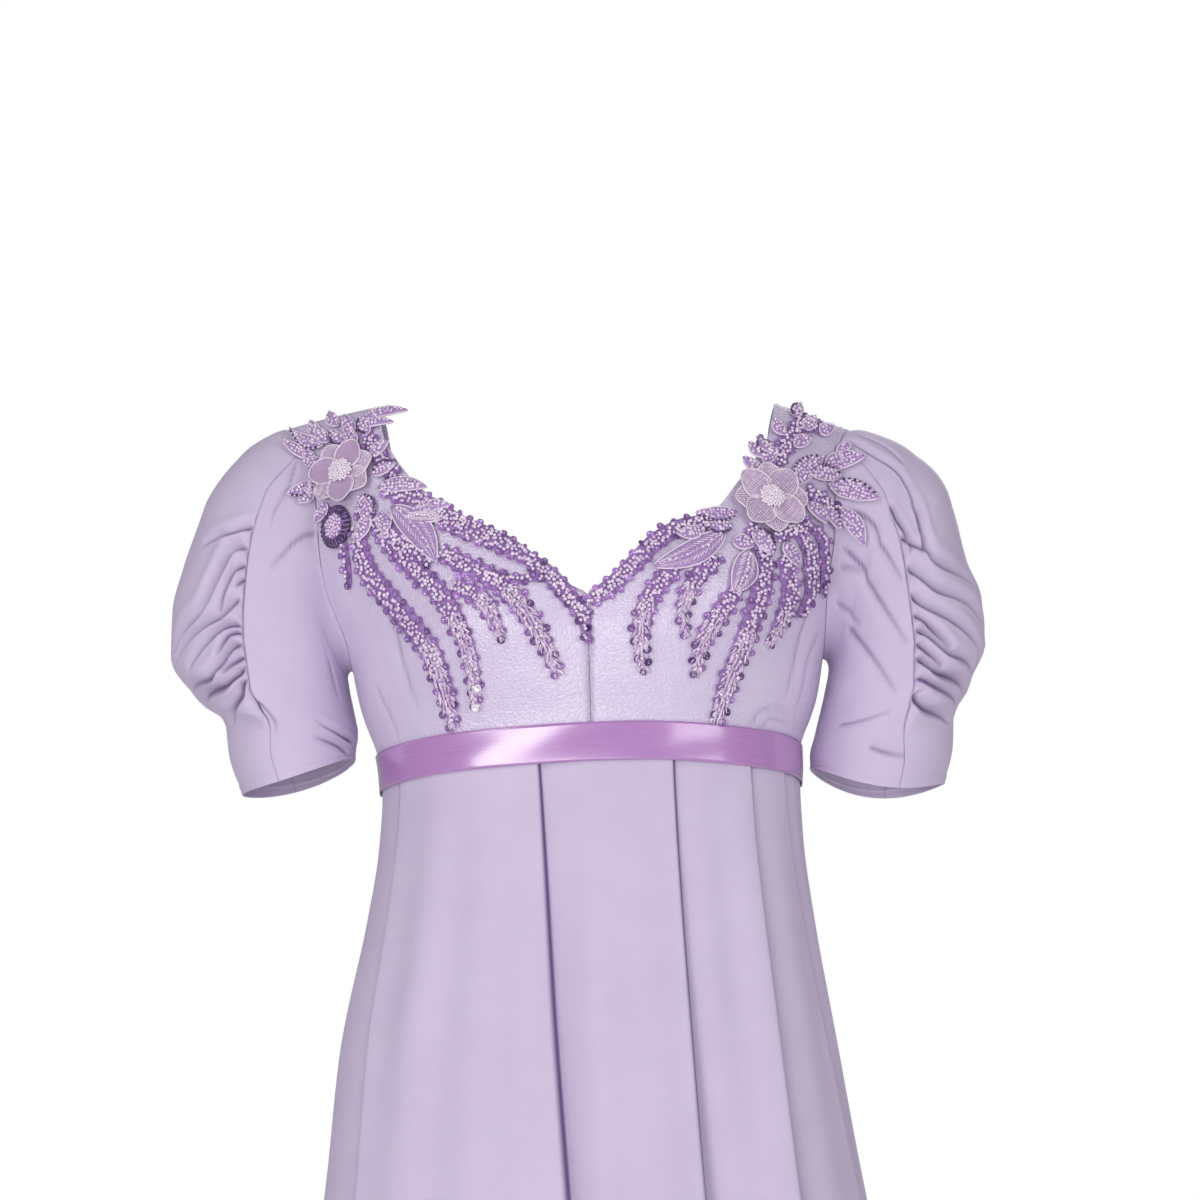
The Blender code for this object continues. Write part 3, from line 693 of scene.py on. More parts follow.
FRONT_ROWS, FRONT_COLUMNS = 112, 84
BACK_ROWS, BACK_COLUMNS = 60, 44
BODICE = {}
for name, side in SIDES.items():
    turn, level = bodice_flat(NECKS[name], side, False, FRONT_ROWS, FRONT_COLUMNS)
    front = bodice_panel(turn, level, False)
    flat = np.stack([side * turn * PANEL_RADIUS, level], axis=-1)
    height = sunk_edge(front, 1) * (level < -150 * MM)
    # Painted shade: the darkest crease shade at each point, stored for the cloth's colour.
    painted_shade = np.zeros_like(height)
    for line in lines_of(BODICE_CREASES[name]):
        path = smooth_line(front_flat(side, line["across"] * MM, line["level"] * MM))
        width = line["width"][0] * MM
        low, dark = crease(flat, path, line["depth"][0] * MM, 0.6 * width, width)
        height += low
        painted_shade = np.maximum(painted_shade, dark)
    front = pushed(front, height, middle_line(front))
    back = bodice_panel(*bodice_flat(BACK_NECKS[name], side, True, BACK_ROWS, BACK_COLUMNS), True)
    back = pushed(back, sunk_edge(back, 1), middle_line(back))
    BODICE[name] = front
    piece = cloth_piece(f"bodice_front_{name}_cloth", front, BODICE_CREPE, "crepe", f"bodice_front_{name}",
                        painted_shade=painted_shade)
    piece = cloth_piece(f"bodice_back_{name}_cloth", back, BODICE_CREPE, "crepe", f"bodice_back_{name}")

# %% [markdown]
# A sleeve is a tube of rings that turn from the upright armhole to the level cuff. Its front and back are
# smooth. The outer panel is cut a quarter fuller and gathered onto both, so that it hangs in deep uneven
# ruches that fall from each seam. The same tables as the solid sleeves give the rings.
# %% Sleeve rings
SLEEVE_LEFT = """
outer_x outer_z inner_x inner_z front back drop seam
190     -16     163     -183    45    45   0    44
207     -31     164     -190    50    49   0    56
226     -44     163     -198    54    52   0    72
242     -64     161     -206    57    54   1    78
250     -92     159     -214    59    56   2    80
256     -122    157     -221    60    57   3    81
265     -150    155     -228    60    57   4    85
266     -178    153     -235    60    56   5    86
256     -202    151     -242    58    53   6    82
247     -226    149     -248    54    50   8    80
245     -250    148     -254    51    47   10   78
238     -275    148     -262    49    45   11   78
"""
SLEEVE_RIGHT = """
outer_x outer_z inner_x inner_z front back drop seam
209     -12     167     -181    45    45   0    44
222     -21     167     -188    50    49   0    54
238     -34     166     -195    54    52   0    63
253     -57     165     -201    57    54   1    69
264     -86     164     -206    59    56   2    74
274     -115    163     -211    60    57   3    79
281     -143    162     -216    60    57   3    84
282     -174    161     -221    60    56   4    87
267     -198    160     -227    58    53   4    84
250     -218    160     -233    54    50   4    80
247     -243    161     -239    51    47   4    78
238     -270    162     -247    49    45   4    78
"""


def sleeve_ring_points(text, side, ring, angle):
    """Points of a sleeve: rings that turn from the upright armhole to the level cuff. ring counts the
    table's rows and angle runs from 0 at the outside, through 90 degrees in front, to 180 under the arm."""
    rows = table(text)
    knots = np.arange(len(rows["outer_x"]), dtype=float)
    at = {name: curve(knots, values * MM, ring) for name, values in rows.items() if name != "seam"}
    out = np.cos(angle)
    ahead = np.sin(angle)
    x = side * ((at["outer_x"] + at["inner_x"]) / 2 + (at["outer_x"] - at["inner_x"]) / 2 * out)
    z = (at["outer_z"] + at["inner_z"]) / 2 + (at["outer_z"] - at["inner_z"]) / 2 * out
    y = -ahead * np.where(ahead > 0, at["front"], at["back"])
    tube = np.stack([x, y, z - at["drop"] * ahead**2], axis=-1)
    edge = form(*armhole(side, np.clip(angle, -math.pi + 0.01, math.pi - 0.01)), SLEEVE_CLEAR)
    edge[..., 0] += side * SLEEVE_CLEAR
    join = np.clip(ring / 1.6, 0, 1)[..., None]
    join = join * join * (3 - 2 * join)
    return edge * (1 - join) + tube * join


def sleeve_centre(text, side, ring):
    """The middles of a sleeve's rings."""
    front = sleeve_ring_points(text, side, ring, np.full(ring.shape, 0.0))
    under = sleeve_ring_points(text, side, ring, np.full(ring.shape, math.pi))
    return (front + under) / 2


def sleeve_panel(text, side, part, ring, columns):
    """A panel of a sleeve as (points, share): front or back run from the gathered seam, share 0, to under
    the arm, share 1, and the ruched one from the back seam, -1, to the front one, 1."""
    seams = table(text)["seam"]
    seam = np.radians(np.interp(ring, np.arange(len(seams)), seams))[:, None]
    gap = SLEEVE_SEAM / 2 / SLEEVE_RADIUS
    if part == "ruched":
        share = np.linspace(-1, 1, columns)[None, :] + 0 * seam
        angle = (seam - gap) * share
    else:
        share = np.linspace(0, 1, columns)[None, :] + 0 * seam
        angle = ((seam + gap) * (1 - share) + (math.pi - gap) * share) * (1 if part == "front" else -1)
    return sleeve_ring_points(text, side, ring[:, None] + 0 * share, angle), share


# %% [markdown]
# The creases of the sleeves are laid line by line: ring is how far down the sleeve, share how far round the
# panel. On the ruched panel the front ones are as worn, and the back ones, which nobody sees, are
# similar ones of our own. Between the creases the cloth puffs out.
# %% Creases of the sleeves
RUCHES = {
    "right": """
line ring share depth soft
1    2.65 1.00  3.4   5.0
1    3.34 0.80  3.4   5.0
1    3.95 0.58  3.4   5.0
2    3.20 1.00  5.2   6.5
2    3.60 0.86  5.2   6.5
2    4.33 0.78  5.2   6.5
2    5.51 0.66  5.2   6.5
2    6.55 0.36  5.2   6.5
3    3.60 1.00  3.2   4.0
3    4.08 0.90  3.2   4.0
3    4.60 0.85  3.2   4.0
3    5.15 0.81  3.2   4.0
4    3.95 1.00  2.2   3.0
4    4.25 0.95  2.2   3.0
5    4.55 0.97  4.6   6.0
5    5.34 0.84  4.6   6.0
5    5.95 0.68  4.6   6.0
5    6.75 0.42  4.6   6.0
6    5.23 1.00  3.8   4.5
6    5.55 0.89  3.8   4.5
6    6.00 0.78  3.8   4.5
6    6.85 0.58  3.8   4.5
7    5.45 1.00  2.4   3.0
7    5.75 0.91  2.4   3.0
7    6.35 0.81  2.4   3.0
8    5.80 1.00  4.6   5.0
8    6.10 0.92  4.6   5.0
8    6.65 0.83  4.6   5.0
8    7.35 0.68  4.6   5.0
8    7.75 0.38  4.6   5.0
9    6.20 1.00  2.4   3.0
9    6.81 0.85  2.4   3.0
10   6.45 1.00  5.0   6.0
10   6.90 0.92  5.0   6.0
10   7.55 0.77  5.0   6.0
10   8.30 0.30  5.0   6.0
11   6.85 1.00  4.2   5.0
11   7.60 0.92  4.2   5.0
11   8.76 0.60  4.2   5.0
12   2.55 -1.0  3.6   5.0
12   3.60 -0.76 3.6   5.0
12   4.60 -0.40 3.6   5.0
13   3.30 -1.0  4.8   6.0
13   4.10 -0.82 4.8   6.0
13   5.70 -0.50 4.8   6.0
14   4.10 -1.0  3.6   4.5
14   4.90 -0.80 3.6   4.5
14   6.30 -0.56 3.6   4.5
15   4.90 -1.0  4.6   6.0
15   5.60 -0.80 4.6   6.0
15   6.90 -0.34 4.6   6.0
16   5.60 -1.0  3.4   4.5
16   6.30 -0.82 3.4   4.5
16   7.30 -0.58 3.4   4.5
17   6.30 -1.0  4.4   5.5
17   7.00 -0.80 4.4   5.5
17   8.10 -0.30 4.4   5.5
18   7.00 -1.0  3.6   4.5
18   7.80 -0.80 3.6   4.5
18   8.80 -0.50 3.6   4.5
""",
    "left": """
line ring share depth soft
1    0.60 0.86  2.6   4.5
1    1.05 0.80  2.6   4.5
1    1.80 0.70  2.6   4.5
1    2.60 0.74  2.6   4.5
2    2.60 0.76  4.4   6.0
2    3.40 0.80  4.4   6.0
2    4.10 0.76  4.4   6.0
2    5.50 0.34  4.4   6.0
3    2.70 1.00  2.6   3.5
3    3.18 0.93  2.6   3.5
3    4.00 0.77  2.6   3.5
4    3.60 1.00  5.0   6.0
4    4.28 0.89  5.0   6.0
4    5.09 0.74  5.0   6.0
4    6.60 0.24  5.0   6.0
5    4.35 1.00  4.6   5.0
5    4.98 0.92  4.6   5.0
5    5.73 0.75  4.6   5.0
5    7.15 0.36  4.6   5.0
6    5.00 1.00  3.0   3.5
6    5.38 0.93  3.0   3.5
6    5.86 0.85  3.0   3.5
6    6.50 0.73  3.0   3.5
7    5.45 1.00  4.8   5.5
7    6.28 0.83  4.8   5.5
7    6.89 0.70  4.8   5.5
7    7.45 0.46  4.8   5.5
8    5.85 1.00  3.0   3.5
8    6.20 0.94  3.0   3.5
8    6.90 0.81  3.0   3.5
9    6.30 1.00  5.0   5.5
9    6.60 0.94  5.0   5.5
9    7.16 0.84  5.0   5.5
9    8.25 0.36  5.0   5.5
10   7.00 1.00  3.0   3.5
10   7.90 0.76  3.0   3.5
10   8.50 0.48  3.0   3.5
11   7.60 1.00  5.0   6.0
11   8.06 0.95  5.0   6.0
11   8.58 0.80  5.0   6.0
11   9.10 0.48  5.0   6.0
12   1.80 1.00  3.0   3.5
12   2.35 0.97  3.0   3.5
12   3.20 0.93  3.0   3.5
13   0.75 0.58  1.6   3.0
13   1.15 0.53  1.6   3.0
13   1.65 0.56  1.6   3.0
14   2.60 -1.0  3.6   5.0
14   3.50 -0.78 3.6   5.0
14   4.70 -0.42 3.6   5.0
15   3.40 -1.0  4.8   6.0
15   4.20 -0.80 4.8   6.0
15   5.60 -0.44 4.8   6.0
16   4.20 -1.0  3.4   4.5
16   5.00 -0.82 3.4   4.5
16   6.20 -0.60 3.4   4.5
17   4.90 -1.0  4.8   6.0
17   5.70 -0.78 4.8   6.0
17   7.00 -0.36 4.8   6.0
18   5.70 -1.0  3.4   4.0
18   6.50 -0.84 3.4   4.0
18   7.40 -0.62 3.4   4.0
19   6.40 -1.0  4.6   5.5
19   7.20 -0.78 4.6   5.5
19   8.30 -0.34 4.6   5.5
20   7.20 -1.0  3.4   4.5
20   8.00 -0.80 3.4   4.5
20   8.90 -0.52 3.4   4.5
""",
}
DRAGS = {
    "right": """
line ring share depth soft
1    0.60 0.02  1.0   4
1    1.10 0.09  1.0   4
1    1.80 0.10  1.0   4
2    0.30 0.35  1.2   6
2    0.95 0.29  1.2   6
2    1.70 0.24  1.2   6
2    2.60 0.18  1.2   6
3    2.60 0.66  1.0   5
3    3.60 0.69  1.0   5
3    5.00 0.71  1.0   5
4    9.60 0.86  2.2   5
4    9.20 0.70  2.2   5
4    8.60 0.52  2.2   5
5    10.6 0.78  1.8   5
5    10.0 0.64  1.8   5
5    9.50 0.46  1.8   5
6    7.80 0.00  1.2   4
6    8.30 0.04  1.2   4
6    9.00 0.05  1.2   4
""",
    "left": """
line ring share depth soft
1    0.80 0.25  1.8   6
1    1.30 0.17  1.8   6
1    2.20 0.13  1.8   6
1    3.40 0.06  1.8   6
2    0.70 0.40  1.8   7
2    1.40 0.34  1.8   7
2    2.55 0.28  1.8   7
2    4.95 0.11  1.8   7
3    0.80 0.60  1.2   5
3    1.50 0.53  1.2   5
3    2.45 0.46  1.2   5
4    1.80 0.56  1.6   8
4    4.00 0.40  1.6   8
4    6.40 0.20  1.6   8
5    0.70 0.47  0.9   4
5    1.40 0.36  0.9   4
6    9.40 0.28  1.2   4
6    9.72 0.14  1.2   4
6    9.90 0.02  1.2   4
7    7.60 0.60  1.0   5
7    7.90 0.40  1.0   5
7    8.00 0.20  1.0   5
""",
}
HEM_RING = 10.72  # where the cuff's stitching runs
RING_STEP = 26 * MM  # length of sleeve between two rows of the tables, near the cuff


def panel_heights(points, ring, share, text, strength, softness, steepness):
    """All of a panel's creases added up on its own flat, which is the length round it and the length down it,
    and the deepest of their painted shades, which darken the cloth's colour. Each line runs on past its far
    end by a quarter of its last step."""
    down = span(points, 0).mean(axis=1)
    half = span(points, 1)[:, -1] / (share[0, -1] - share[0, 0])
    flat = np.stack([share * half[:, None], down[:, None] + 0 * share], axis=-1)
    height, painted_shade = np.zeros_like(share), np.zeros_like(share)
    for line in lines_of(text):
        place = np.stack([line["share"] * np.interp(line["ring"], ring, half),
                          np.interp(line["ring"], ring, down)], axis=-1)
        place = np.vstack([place, place[-1] + 0.25 * (place[-1] - place[-2])])
        soft = softness * line["soft"][0] * MM
        depth = strength * line["depth"][0] * MM
        low, dark = crease(flat, smooth_line(place, 16), depth, steepness * soft, soft)
        height += low
        painted_shade = np.maximum(painted_shade, dark)
    return height, painted_shade


def hem_line(ring):
    """The sunk line of stitches above the cuff, and the slightly thicker hem below it."""
    near = (ring - HEM_RING) * RING_STEP
    return -0.5 * MM * np.exp(-((near / (0.9 * MM)) ** 2)) + 0.25 * MM * (near > 0)


# %% Sew the sleeves
RINGS = np.concatenate([np.linspace(0, 10.45, 222), np.linspace(10.5, 11, 16)])
SLEEVES = {}
for name, side in SIDES.items():
    text = SLEEVE_RIGHT if name == "right" else SLEEVE_LEFT
    for part, columns in (("front", 72), ("ruched", 150), ("back", 26)):
        points, share = sleeve_panel(text, side, part, RINGS, columns)
        centre = sleeve_centre(text, side, RINGS[:, None] + 0 * share)
        height = hem_line(RINGS)[:, None] + 0 * share
        if part == "ruched":
            edge = np.clip((1 - np.abs(share)) / 0.09, 0, 1)
            full = np.clip((RINGS - 2.2) / 1.2, 0, 1) * np.clip((9.2 - RINGS) / 0.8, 0, 1)
            puff = 4.5 * MM * full[:, None] * edge * (2 - edge)
            creased, painted_shade = panel_heights(points, RINGS, share, RUCHES[name], 2.0, 0.75, 0.3)
            height = height + puff + creased * np.clip((1 - np.abs(share)) / 0.035, 0.12, 1)
            centres = centre
        else:
            if part == "front":
                creased, painted_shade = panel_heights(points, RINGS, share, DRAGS[name], 1.6, 0.9, 0.55)
            else:
                creased, painted_shade = panel_heights(points, RINGS, share, DRAGS[name], 1.4, 2.0, 0.9)[0], None
            height = height + creased + sunk_edge(points, 1, 0.25 * MM)
        height = height * np.clip(RINGS / 0.35, 0, 1)[:, None]
        points = pushed(points, height, centre)
        SLEEVES[name, part] = points
        piece = cloth_piece(f"sleeve_{name}_{part}_cloth", points, SKIRT_CREPE, "crepe",
                            f"sleeve_{name}_{part}", centres=centre, painted_shade=painted_shade)

# %% [markdown]
# The skirt is an A-line front and back. Soft unpressed pleats start under the ribbon: at each one the cloth
# steps back past an edge and comes forward again. The grid's columns follow the pleats' edges down the
# skirt, so that each edge stays one clean line.
# %% Pleats
LOW = -540 * MM
PLEATS_FRONT = """
top    low    hem    lap  depth_top depth_low depth_hem width
-0.70  -0.66  -0.64  -1   1.2       7         18        26
-0.168 -0.082 -0.060 1    2.4       12        24        26
0.264  0.262  0.270  1    2.4       12        24        28
0.545  0.515  0.520  1    2.4       11        22        24
0.720  0.800  0.810  1    2.0       9         18        24
0.810  0.905  0.915  1    1.4       4         8         14
"""
PLEATS_BACK = """
top    low    hem    lap  depth_top depth_low depth_hem width
-0.72  -0.74  -0.76  -1   1.0       6         17        26
-0.36  -0.38  -0.40  -1   1.2       8         20        28
0.36   0.37   0.38   1    1.2       8         20        28
0.70   0.74   0.76   1    1.0       6         17        26
"""


def quarter_turns(level, back, side):
    """Turns and distances from the centre front or back to the side seam, along one section."""
    turn = np.linspace(0, QUARTER, 181)
    turn = side * (math.pi - turn if back else turn)
    spots = form(turn, np.full(turn.shape, level))
    lengths = np.linalg.norm(np.diff(spots, axis=0), axis=1)
    return turn, np.concatenate([[0], np.cumsum(lengths)])


def at_level(rows, names, level):
    """A pleat table's three columns, read at one level."""
    knots = np.array([HEM, LOW, EMPIRE - RIBBON_WIDTH / 2])
    return [np.interp(level, knots, values) for values in zip(*(rows[name] for name in names))]


def pleats(rows, share, quarter, level):
    """How far the pleats push the cloth out (negative is in), at shares of a quarter's length, and the
    painted shade of each place: a dark line at each pleat's edge and a faint painted shadow past it. Both die
    away at the side seam, so that front and back meet there."""
    push = np.zeros_like(share)
    lines = at_level(rows, ("hem", "low", "top"), level)
    depths = at_level(rows, ("depth_hem", "depth_low", "depth_top"), level)
    opened = np.interp(level, [HEM, LOW, EMPIRE], [2.6, 1.1, 0.4])
    crisp = np.interp(level, [HEM, LOW, EMPIRE], [3.5, 0.9, 0.5]) * MM
    painted_shade = np.zeros_like(share)
    for line, depth, lap, width in zip(lines, depths, rows["lap"], rows["width"]):
        past = lap * (share - line) * quarter
        reach = width * MM * opened
        step = 1 / (1 + np.exp(np.clip(-past / crisp, -40, 40)))
        push -= depth * MM * step * np.exp(-np.maximum(past, 0) / reach)
        push += 0.22 * depth * MM * (1 - step) * np.exp(-((past / reach) ** 2))
        # Painted shade: a dark line just past each pleat's edge, and a faint painted shadow on the
        # stepped-back cloth beyond it.
        painted_shade += 0.9 * np.exp(-(((past - 0.4 * crisp) / (1.25 * crisp + 0.35 * MM)) ** 2))
        painted_shade += 0.2 * step * np.exp(-np.abs(past) / (0.25 * reach))
    sway = np.interp(level, [HEM, LOW, EMPIRE], [9, 2.5, 0]) * MM
    sway = sway * (np.cos(9.4 * share + 0.6) + 0.6 * np.cos(15.1 * share - 1.1)) * (1 - share**4)
    ease = np.interp(level, [HEM, LOW, -400 * MM, EMPIRE], [0, 1.0, 1.5, 0]) * MM
    ease = ease * (np.sin(23 * share + 0.9) + 0.7 * np.sin(37 * share + 2)) * (1 - share**4)
    hold = 1 - np.exp(-(1 - np.abs(share)) / 0.05)
    return push * hold + sway + ease, np.clip(painted_shade * hold, 0, 1)


def crowded(lines, count):
    """Column places from -1 to 1, three times as close near the lines: the inverse of a summed density."""
    fine = np.linspace(-1, 1, 2001)
    density = 1 + 3.5 * np.exp(-(((fine[:, None] - lines) / 0.03) ** 2)).sum(axis=1)
    total = np.concatenate([[0], np.cumsum((density[1:] + density[:-1]) / 2)])
    return np.interp(np.linspace(0, total[-1], count), total, fine)


def skirt_panel(text, back, levels, count):
    """Rings of the form below the empire seam, pushed out and in by the pleats. A column keeps its place
    between the pleats' edges, which drift round the skirt as it falls."""
    rows = table(text)
    first = np.sort(at_level(rows, ("hem", "low", "top"), levels[0]))
    column = crowded(first, count)
    grid, painted_shades = [], []
    for level in levels:
        lines = np.sort(at_level(rows, ("hem", "low", "top"), level))
        share = np.interp(column, [-1, *first, 1], [-1, *lines, 1])
        turns, along = quarter_turns(level, back, 1)
        turns_right, along_right = quarter_turns(level, back, -1)
        left = share >= 0
        turn = np.where(left, np.interp(share * (along[-1] - SEAM / 2), along, turns),
                        np.interp(-share * (along_right[-1] - SEAM / 2), along_right, turns_right))
        quarters = [pleats(rows, share, quarter, level) for quarter in (along[-1], along_right[-1])]
        push, painted_shade = np.where(left, *quarters)
        grid.append(form(turn, np.full(turn.shape, level), push))
        painted_shades.append(painted_shade)
    return np.array(grid), np.array(painted_shades)


# %% Sew the skirt
SKIRT_LEVELS = EMPIRE - SEAM / 2 + (HEM - EMPIRE + SEAM / 2) * np.linspace(0, 1, 84) ** 1.7
for name, text, back, count in (("front", PLEATS_FRONT, False, 300), ("back", PLEATS_BACK, True, 160)):
    points, painted_shade = skirt_panel(text, back, SKIRT_LEVELS, count)
    piece = cloth_piece(f"skirt_{name}_cloth", points, SKIRT_CREPE, "crepe", f"skirt_{name}", painted_shade=painted_shade)

# %% [markdown]
# The ribbon is one satin band round the empire seam. Satin threads lie along it, so light slides up and down
# it in a bar. It is slightly cupped between its bound edges, and it sits a little unevenly.
# %% Sew the ribbon
turn = np.linspace(-math.pi, math.pi, 421)[:-1]
share = np.linspace(-1, 1, 15)[:, None]
slip = 0.5 * MM * np.sin(3 * turn + 0.8) + 0.3 * MM * np.sin(7 * turn)
levels = EMPIRE - share * RIBBON_WIDTH / 2 + slip
cup = 1.7 * MM + 0.35 * MM * (1 - share**2) + 0.25 * MM * np.sin(5 * turn + 2.2 * share)
ribbon = form(turn[None, :] + 0 * share, levels, cup)
piece = cloth_piece("ribbon_satin", ribbon, PURPLE_SATIN, "satin_ribbon", "ribbon", closed=True,
                    wall=RIBBON_WALL)

# %% [markdown]
# The beadwork is sewn to the front through all that lies under it: bodice, armhole seam and the top of the
# sleeve. It is stiff and bridges the folds. So the front is first read as a relief, the height of the
# foremost cloth over every square millimetre, and softened. Each bead and leaf is then placed by its distance
# from the centre and its height, and set on the relief.
# %% The front as a relief
CELL = 1.0 * MM
RELIEF_LOW = np.array([-260, -300]) * MM
RELIEF_SIZE = (520, 320)


def neighbours(relief):
    """The relief moved one cell each of four ways, stacked."""
    wide = np.pad(relief, 1, mode="edge")
    return np.stack([wide[:-2, 1:-1], wide[2:, 1:-1], wide[1:-1, :-2], wide[1:-1, 2:]])


def front_relief(grids):
    """The least y of the grids' points in each cell of x and z. Empty cells take the mean of their filled
    neighbours, step by step, and the whole is then averaged with its neighbours a few times."""
    points = np.concatenate([grid.reshape(-1, 3) for grid in grids])
    cell = np.rint((points[:, [0, 2]] - RELIEF_LOW) / CELL).astype(int)
    inside = ((cell >= 0) & (cell < RELIEF_SIZE)).all(axis=1)
    relief = np.full(RELIEF_SIZE, np.inf)
    np.minimum.at(relief, (cell[inside, 0], cell[inside, 1]), points[inside, 1])
    for _ in range(40):
        around = neighbours(relief)
        known = np.isfinite(around)
        total = np.where(known, around, 0).sum(axis=0)
        filled = total / np.maximum(known.sum(axis=0), 1)
        relief = np.where(np.isfinite(relief) | ~known.any(axis=0), relief, filled)
    relief = np.where(np.isfinite(relief), relief, 0)
    for _ in range(6):
        relief = 0.5 * relief + 0.5 * neighbours(relief).mean(axis=0)
    return relief


def finer(grid, times=3):
    """The grid with that many times as many rows and columns, between its own."""
    for axis in (0, 1):
        grid = np.swapaxes(grid, 0, axis)
        at = np.linspace(0, len(grid) - 1, times * len(grid))
        low = np.minimum(at.astype(int), len(grid) - 2)
        share = (at - low)[:, None, None]
        grid = np.swapaxes(grid[low] * (1 - share) + grid[low + 1] * share, 0, axis)
    return grid


RELIEF = front_relief([finer(BODICE[name]) for name in SIDES]
                      + [finer(SLEEVES[name, part]) for name in SIDES for part in ("front", "ruched")])


def relief_at(x, z):
    """The relief between its cells: the mean of the four around, weighted by nearness."""
    at = (np.stack([x, z], axis=-1) - RELIEF_LOW) / CELL
    low = np.clip(at.astype(int), 0, np.array(RELIEF_SIZE) - 2)
    u, v = np.moveaxis(np.clip(at - low, 0, 1), -1, 0)
    i, j = np.moveaxis(low, -1, 0)
    near = RELIEF[i, j] * (1 - v) + RELIEF[i, j + 1] * v
    far = RELIEF[i + 1, j] * (1 - v) + RELIEF[i + 1, j + 1] * v
    return near * (1 - u) + far * u


def lay(x, z, out):
    """Points on the relief moved out along its normals, and the normals: (slope in x, -1, slope in z),
    made a unit long."""
    x, z = np.broadcast_arrays(np.asarray(x, dtype=float), np.asarray(z, dtype=float))
    y = relief_at(x, z)
    reach = 2.5 * MM
    slope_x = (relief_at(x + reach, z) - relief_at(x - reach, z)) / (2 * reach)
    slope_z = (relief_at(x, z + reach) - relief_at(x, z - reach)) / (2 * reach)
    normal = np.stack([slope_x, -np.ones_like(y), slope_z], axis=-1)
    normal = normal / np.linalg.norm(normal, axis=-1, keepdims=True)
    return np.stack([x, y, z], axis=-1) + normal * np.asarray(out)[..., None], normal


print("relief", RELIEF.shape, "nearest", round(float(RELIEF.min()), 3))

# %% [markdown]
# Thousands of small things are one mesh each: a shape of a few dozen faces, copied to every place by
# multiplying arrays. A copy has its place, an upright direction, a heading and a size, and a tint that its
# material reads, so that no two beads shine quite alike.
# %% Small shapes, many times over
def turned_shape(profile, sides):
    """A profile of (radius, height) turned round the upright axis: a point at both ends, rings between.
    Returns vertices and triangles."""
    angle = np.linspace(0, 2 * math.pi, sides, endpoint=False)
    rings = np.array(profile[1:-1], dtype=float)
    round_it = np.stack([np.cos(angle), np.sin(angle)], axis=-1)
    heights = np.broadcast_to(rings[:, None, 1:], (len(rings), sides, 1))
    body = np.concatenate([rings[:, None, :1] * round_it, heights], axis=-1)
    vertices = np.vstack([[0, 0, profile[0][1]], body.reshape(-1, 3), [0, 0, profile[-1][1]]])
    quads = grid_quads(len(rings), sides, closed=True) + 1
    first = np.arange(sides) + 1
    last = first + (len(rings) - 1) * sides
    start = np.stack([np.zeros(sides, int), np.roll(first, -1), first], axis=-1)
    end = np.stack([np.full(sides, len(vertices) - 1), last, np.roll(last, -1)], axis=-1)
    return vertices, np.vstack([start, quads[:, [0, 1, 2]], quads[:, [0, 2, 3]], end])


SEED = turned_shape([(0, 0.30), (0.26, 0.38), (0.52, 0.0), (0.26, -0.38), (0, -0.30)], 6)
BUGLE = turned_shape([(0, 0.46), (0.13, 0.5), (0.13, -0.5), (0, -0.46)], 6)
CUP = turned_shape([(0, 0.02), (0.16, 0.02), (0.34, 0.12), (0.50, 0.22), (0.50, 0.14), (0, -0.06)], 8)
KNOT = turned_shape([(0, 0.42), (0.42, 0.22), (0.5, -0.1), (0, -0.3)], 6)


def upright_frames(up, heading):
    """Three unit directions for each copy: along the heading, across it, and up."""
    across = np.cross(up, heading)
    across = across / np.maximum(np.linalg.norm(across, axis=-1, keepdims=True), 1e-9)
    return np.stack([np.cross(across, up), across, up], axis=1)


def many(name, shape, places, frames, sizes, tints, material, slot):
    """One mesh with the shape at every place, sized and turned by its frame, its tint stored on its
    points."""
    vertices, triangles = shape
    sized = frames * np.asarray(sizes)[:, None, None]
    copies = np.einsum("vk,nkc->nvc", vertices, sized) + places[:, None, :]
    faces = triangles[None] + (np.arange(len(places)) * len(vertices))[:, None, None]
    mesh = mesh_from(name, copies.reshape(-1, 3), faces.reshape(-1, 3))
    store(mesh, "tint", np.repeat(tints, len(vertices)))
    print(name, len(places), "copies,", len(places) * len(triangles), "triangles")
    return sew(name, mesh, material, slot, wall=None)


# %% [markdown]
# Pearl seed beads are smooth glass over a pink-lilac core. Cup sequins are metallised film, painted deeper
# purple towards each frond's tip as painted shade for those turned from the light. The threads are shiny pale
# rayon, the flowers mauve organza, and the ground of the lace a fine purple net.
# %% Materials of the beadwork
def tinted(name, low, high, roughness, **sockets):
    """A material whose colour runs from low to high with the tint stored on the points."""
    material, tree, shader = shader_of(name, roughness, **sockets)
    tint = tree.nodes.new("ShaderNodeAttribute")
    tint.attribute_name = "tint"
    tree.links.new(colour_between(tree, tint.outputs["Fac"], low, high, 0, 1), shader.inputs["Base Color"])
    return material


PEARL = tinted("pearl_lilac_beads", (0.58, 0.38, 0.68), (0.93, 0.80, 0.95), 0.2,
               Coat_Weight=0.5, Coat_Roughness=0.1)
SEQUIN = tinted("purple_sequins", (0.10, 0.03, 0.18), (0.46, 0.24, 0.62), 0.26,
                Metallic=0.35, Coat_Weight=0.6)
DARK_BEAD = tinted("dark_purple_beads", (0.035, 0.012, 0.075), (0.16, 0.07, 0.26), 0.2, Coat_Weight=0.6)
THREAD = tinted("pale_rayon_thread", (0.70, 0.54, 0.72), (0.93, 0.84, 0.93), 0.38, Sheen_Weight=0.3)


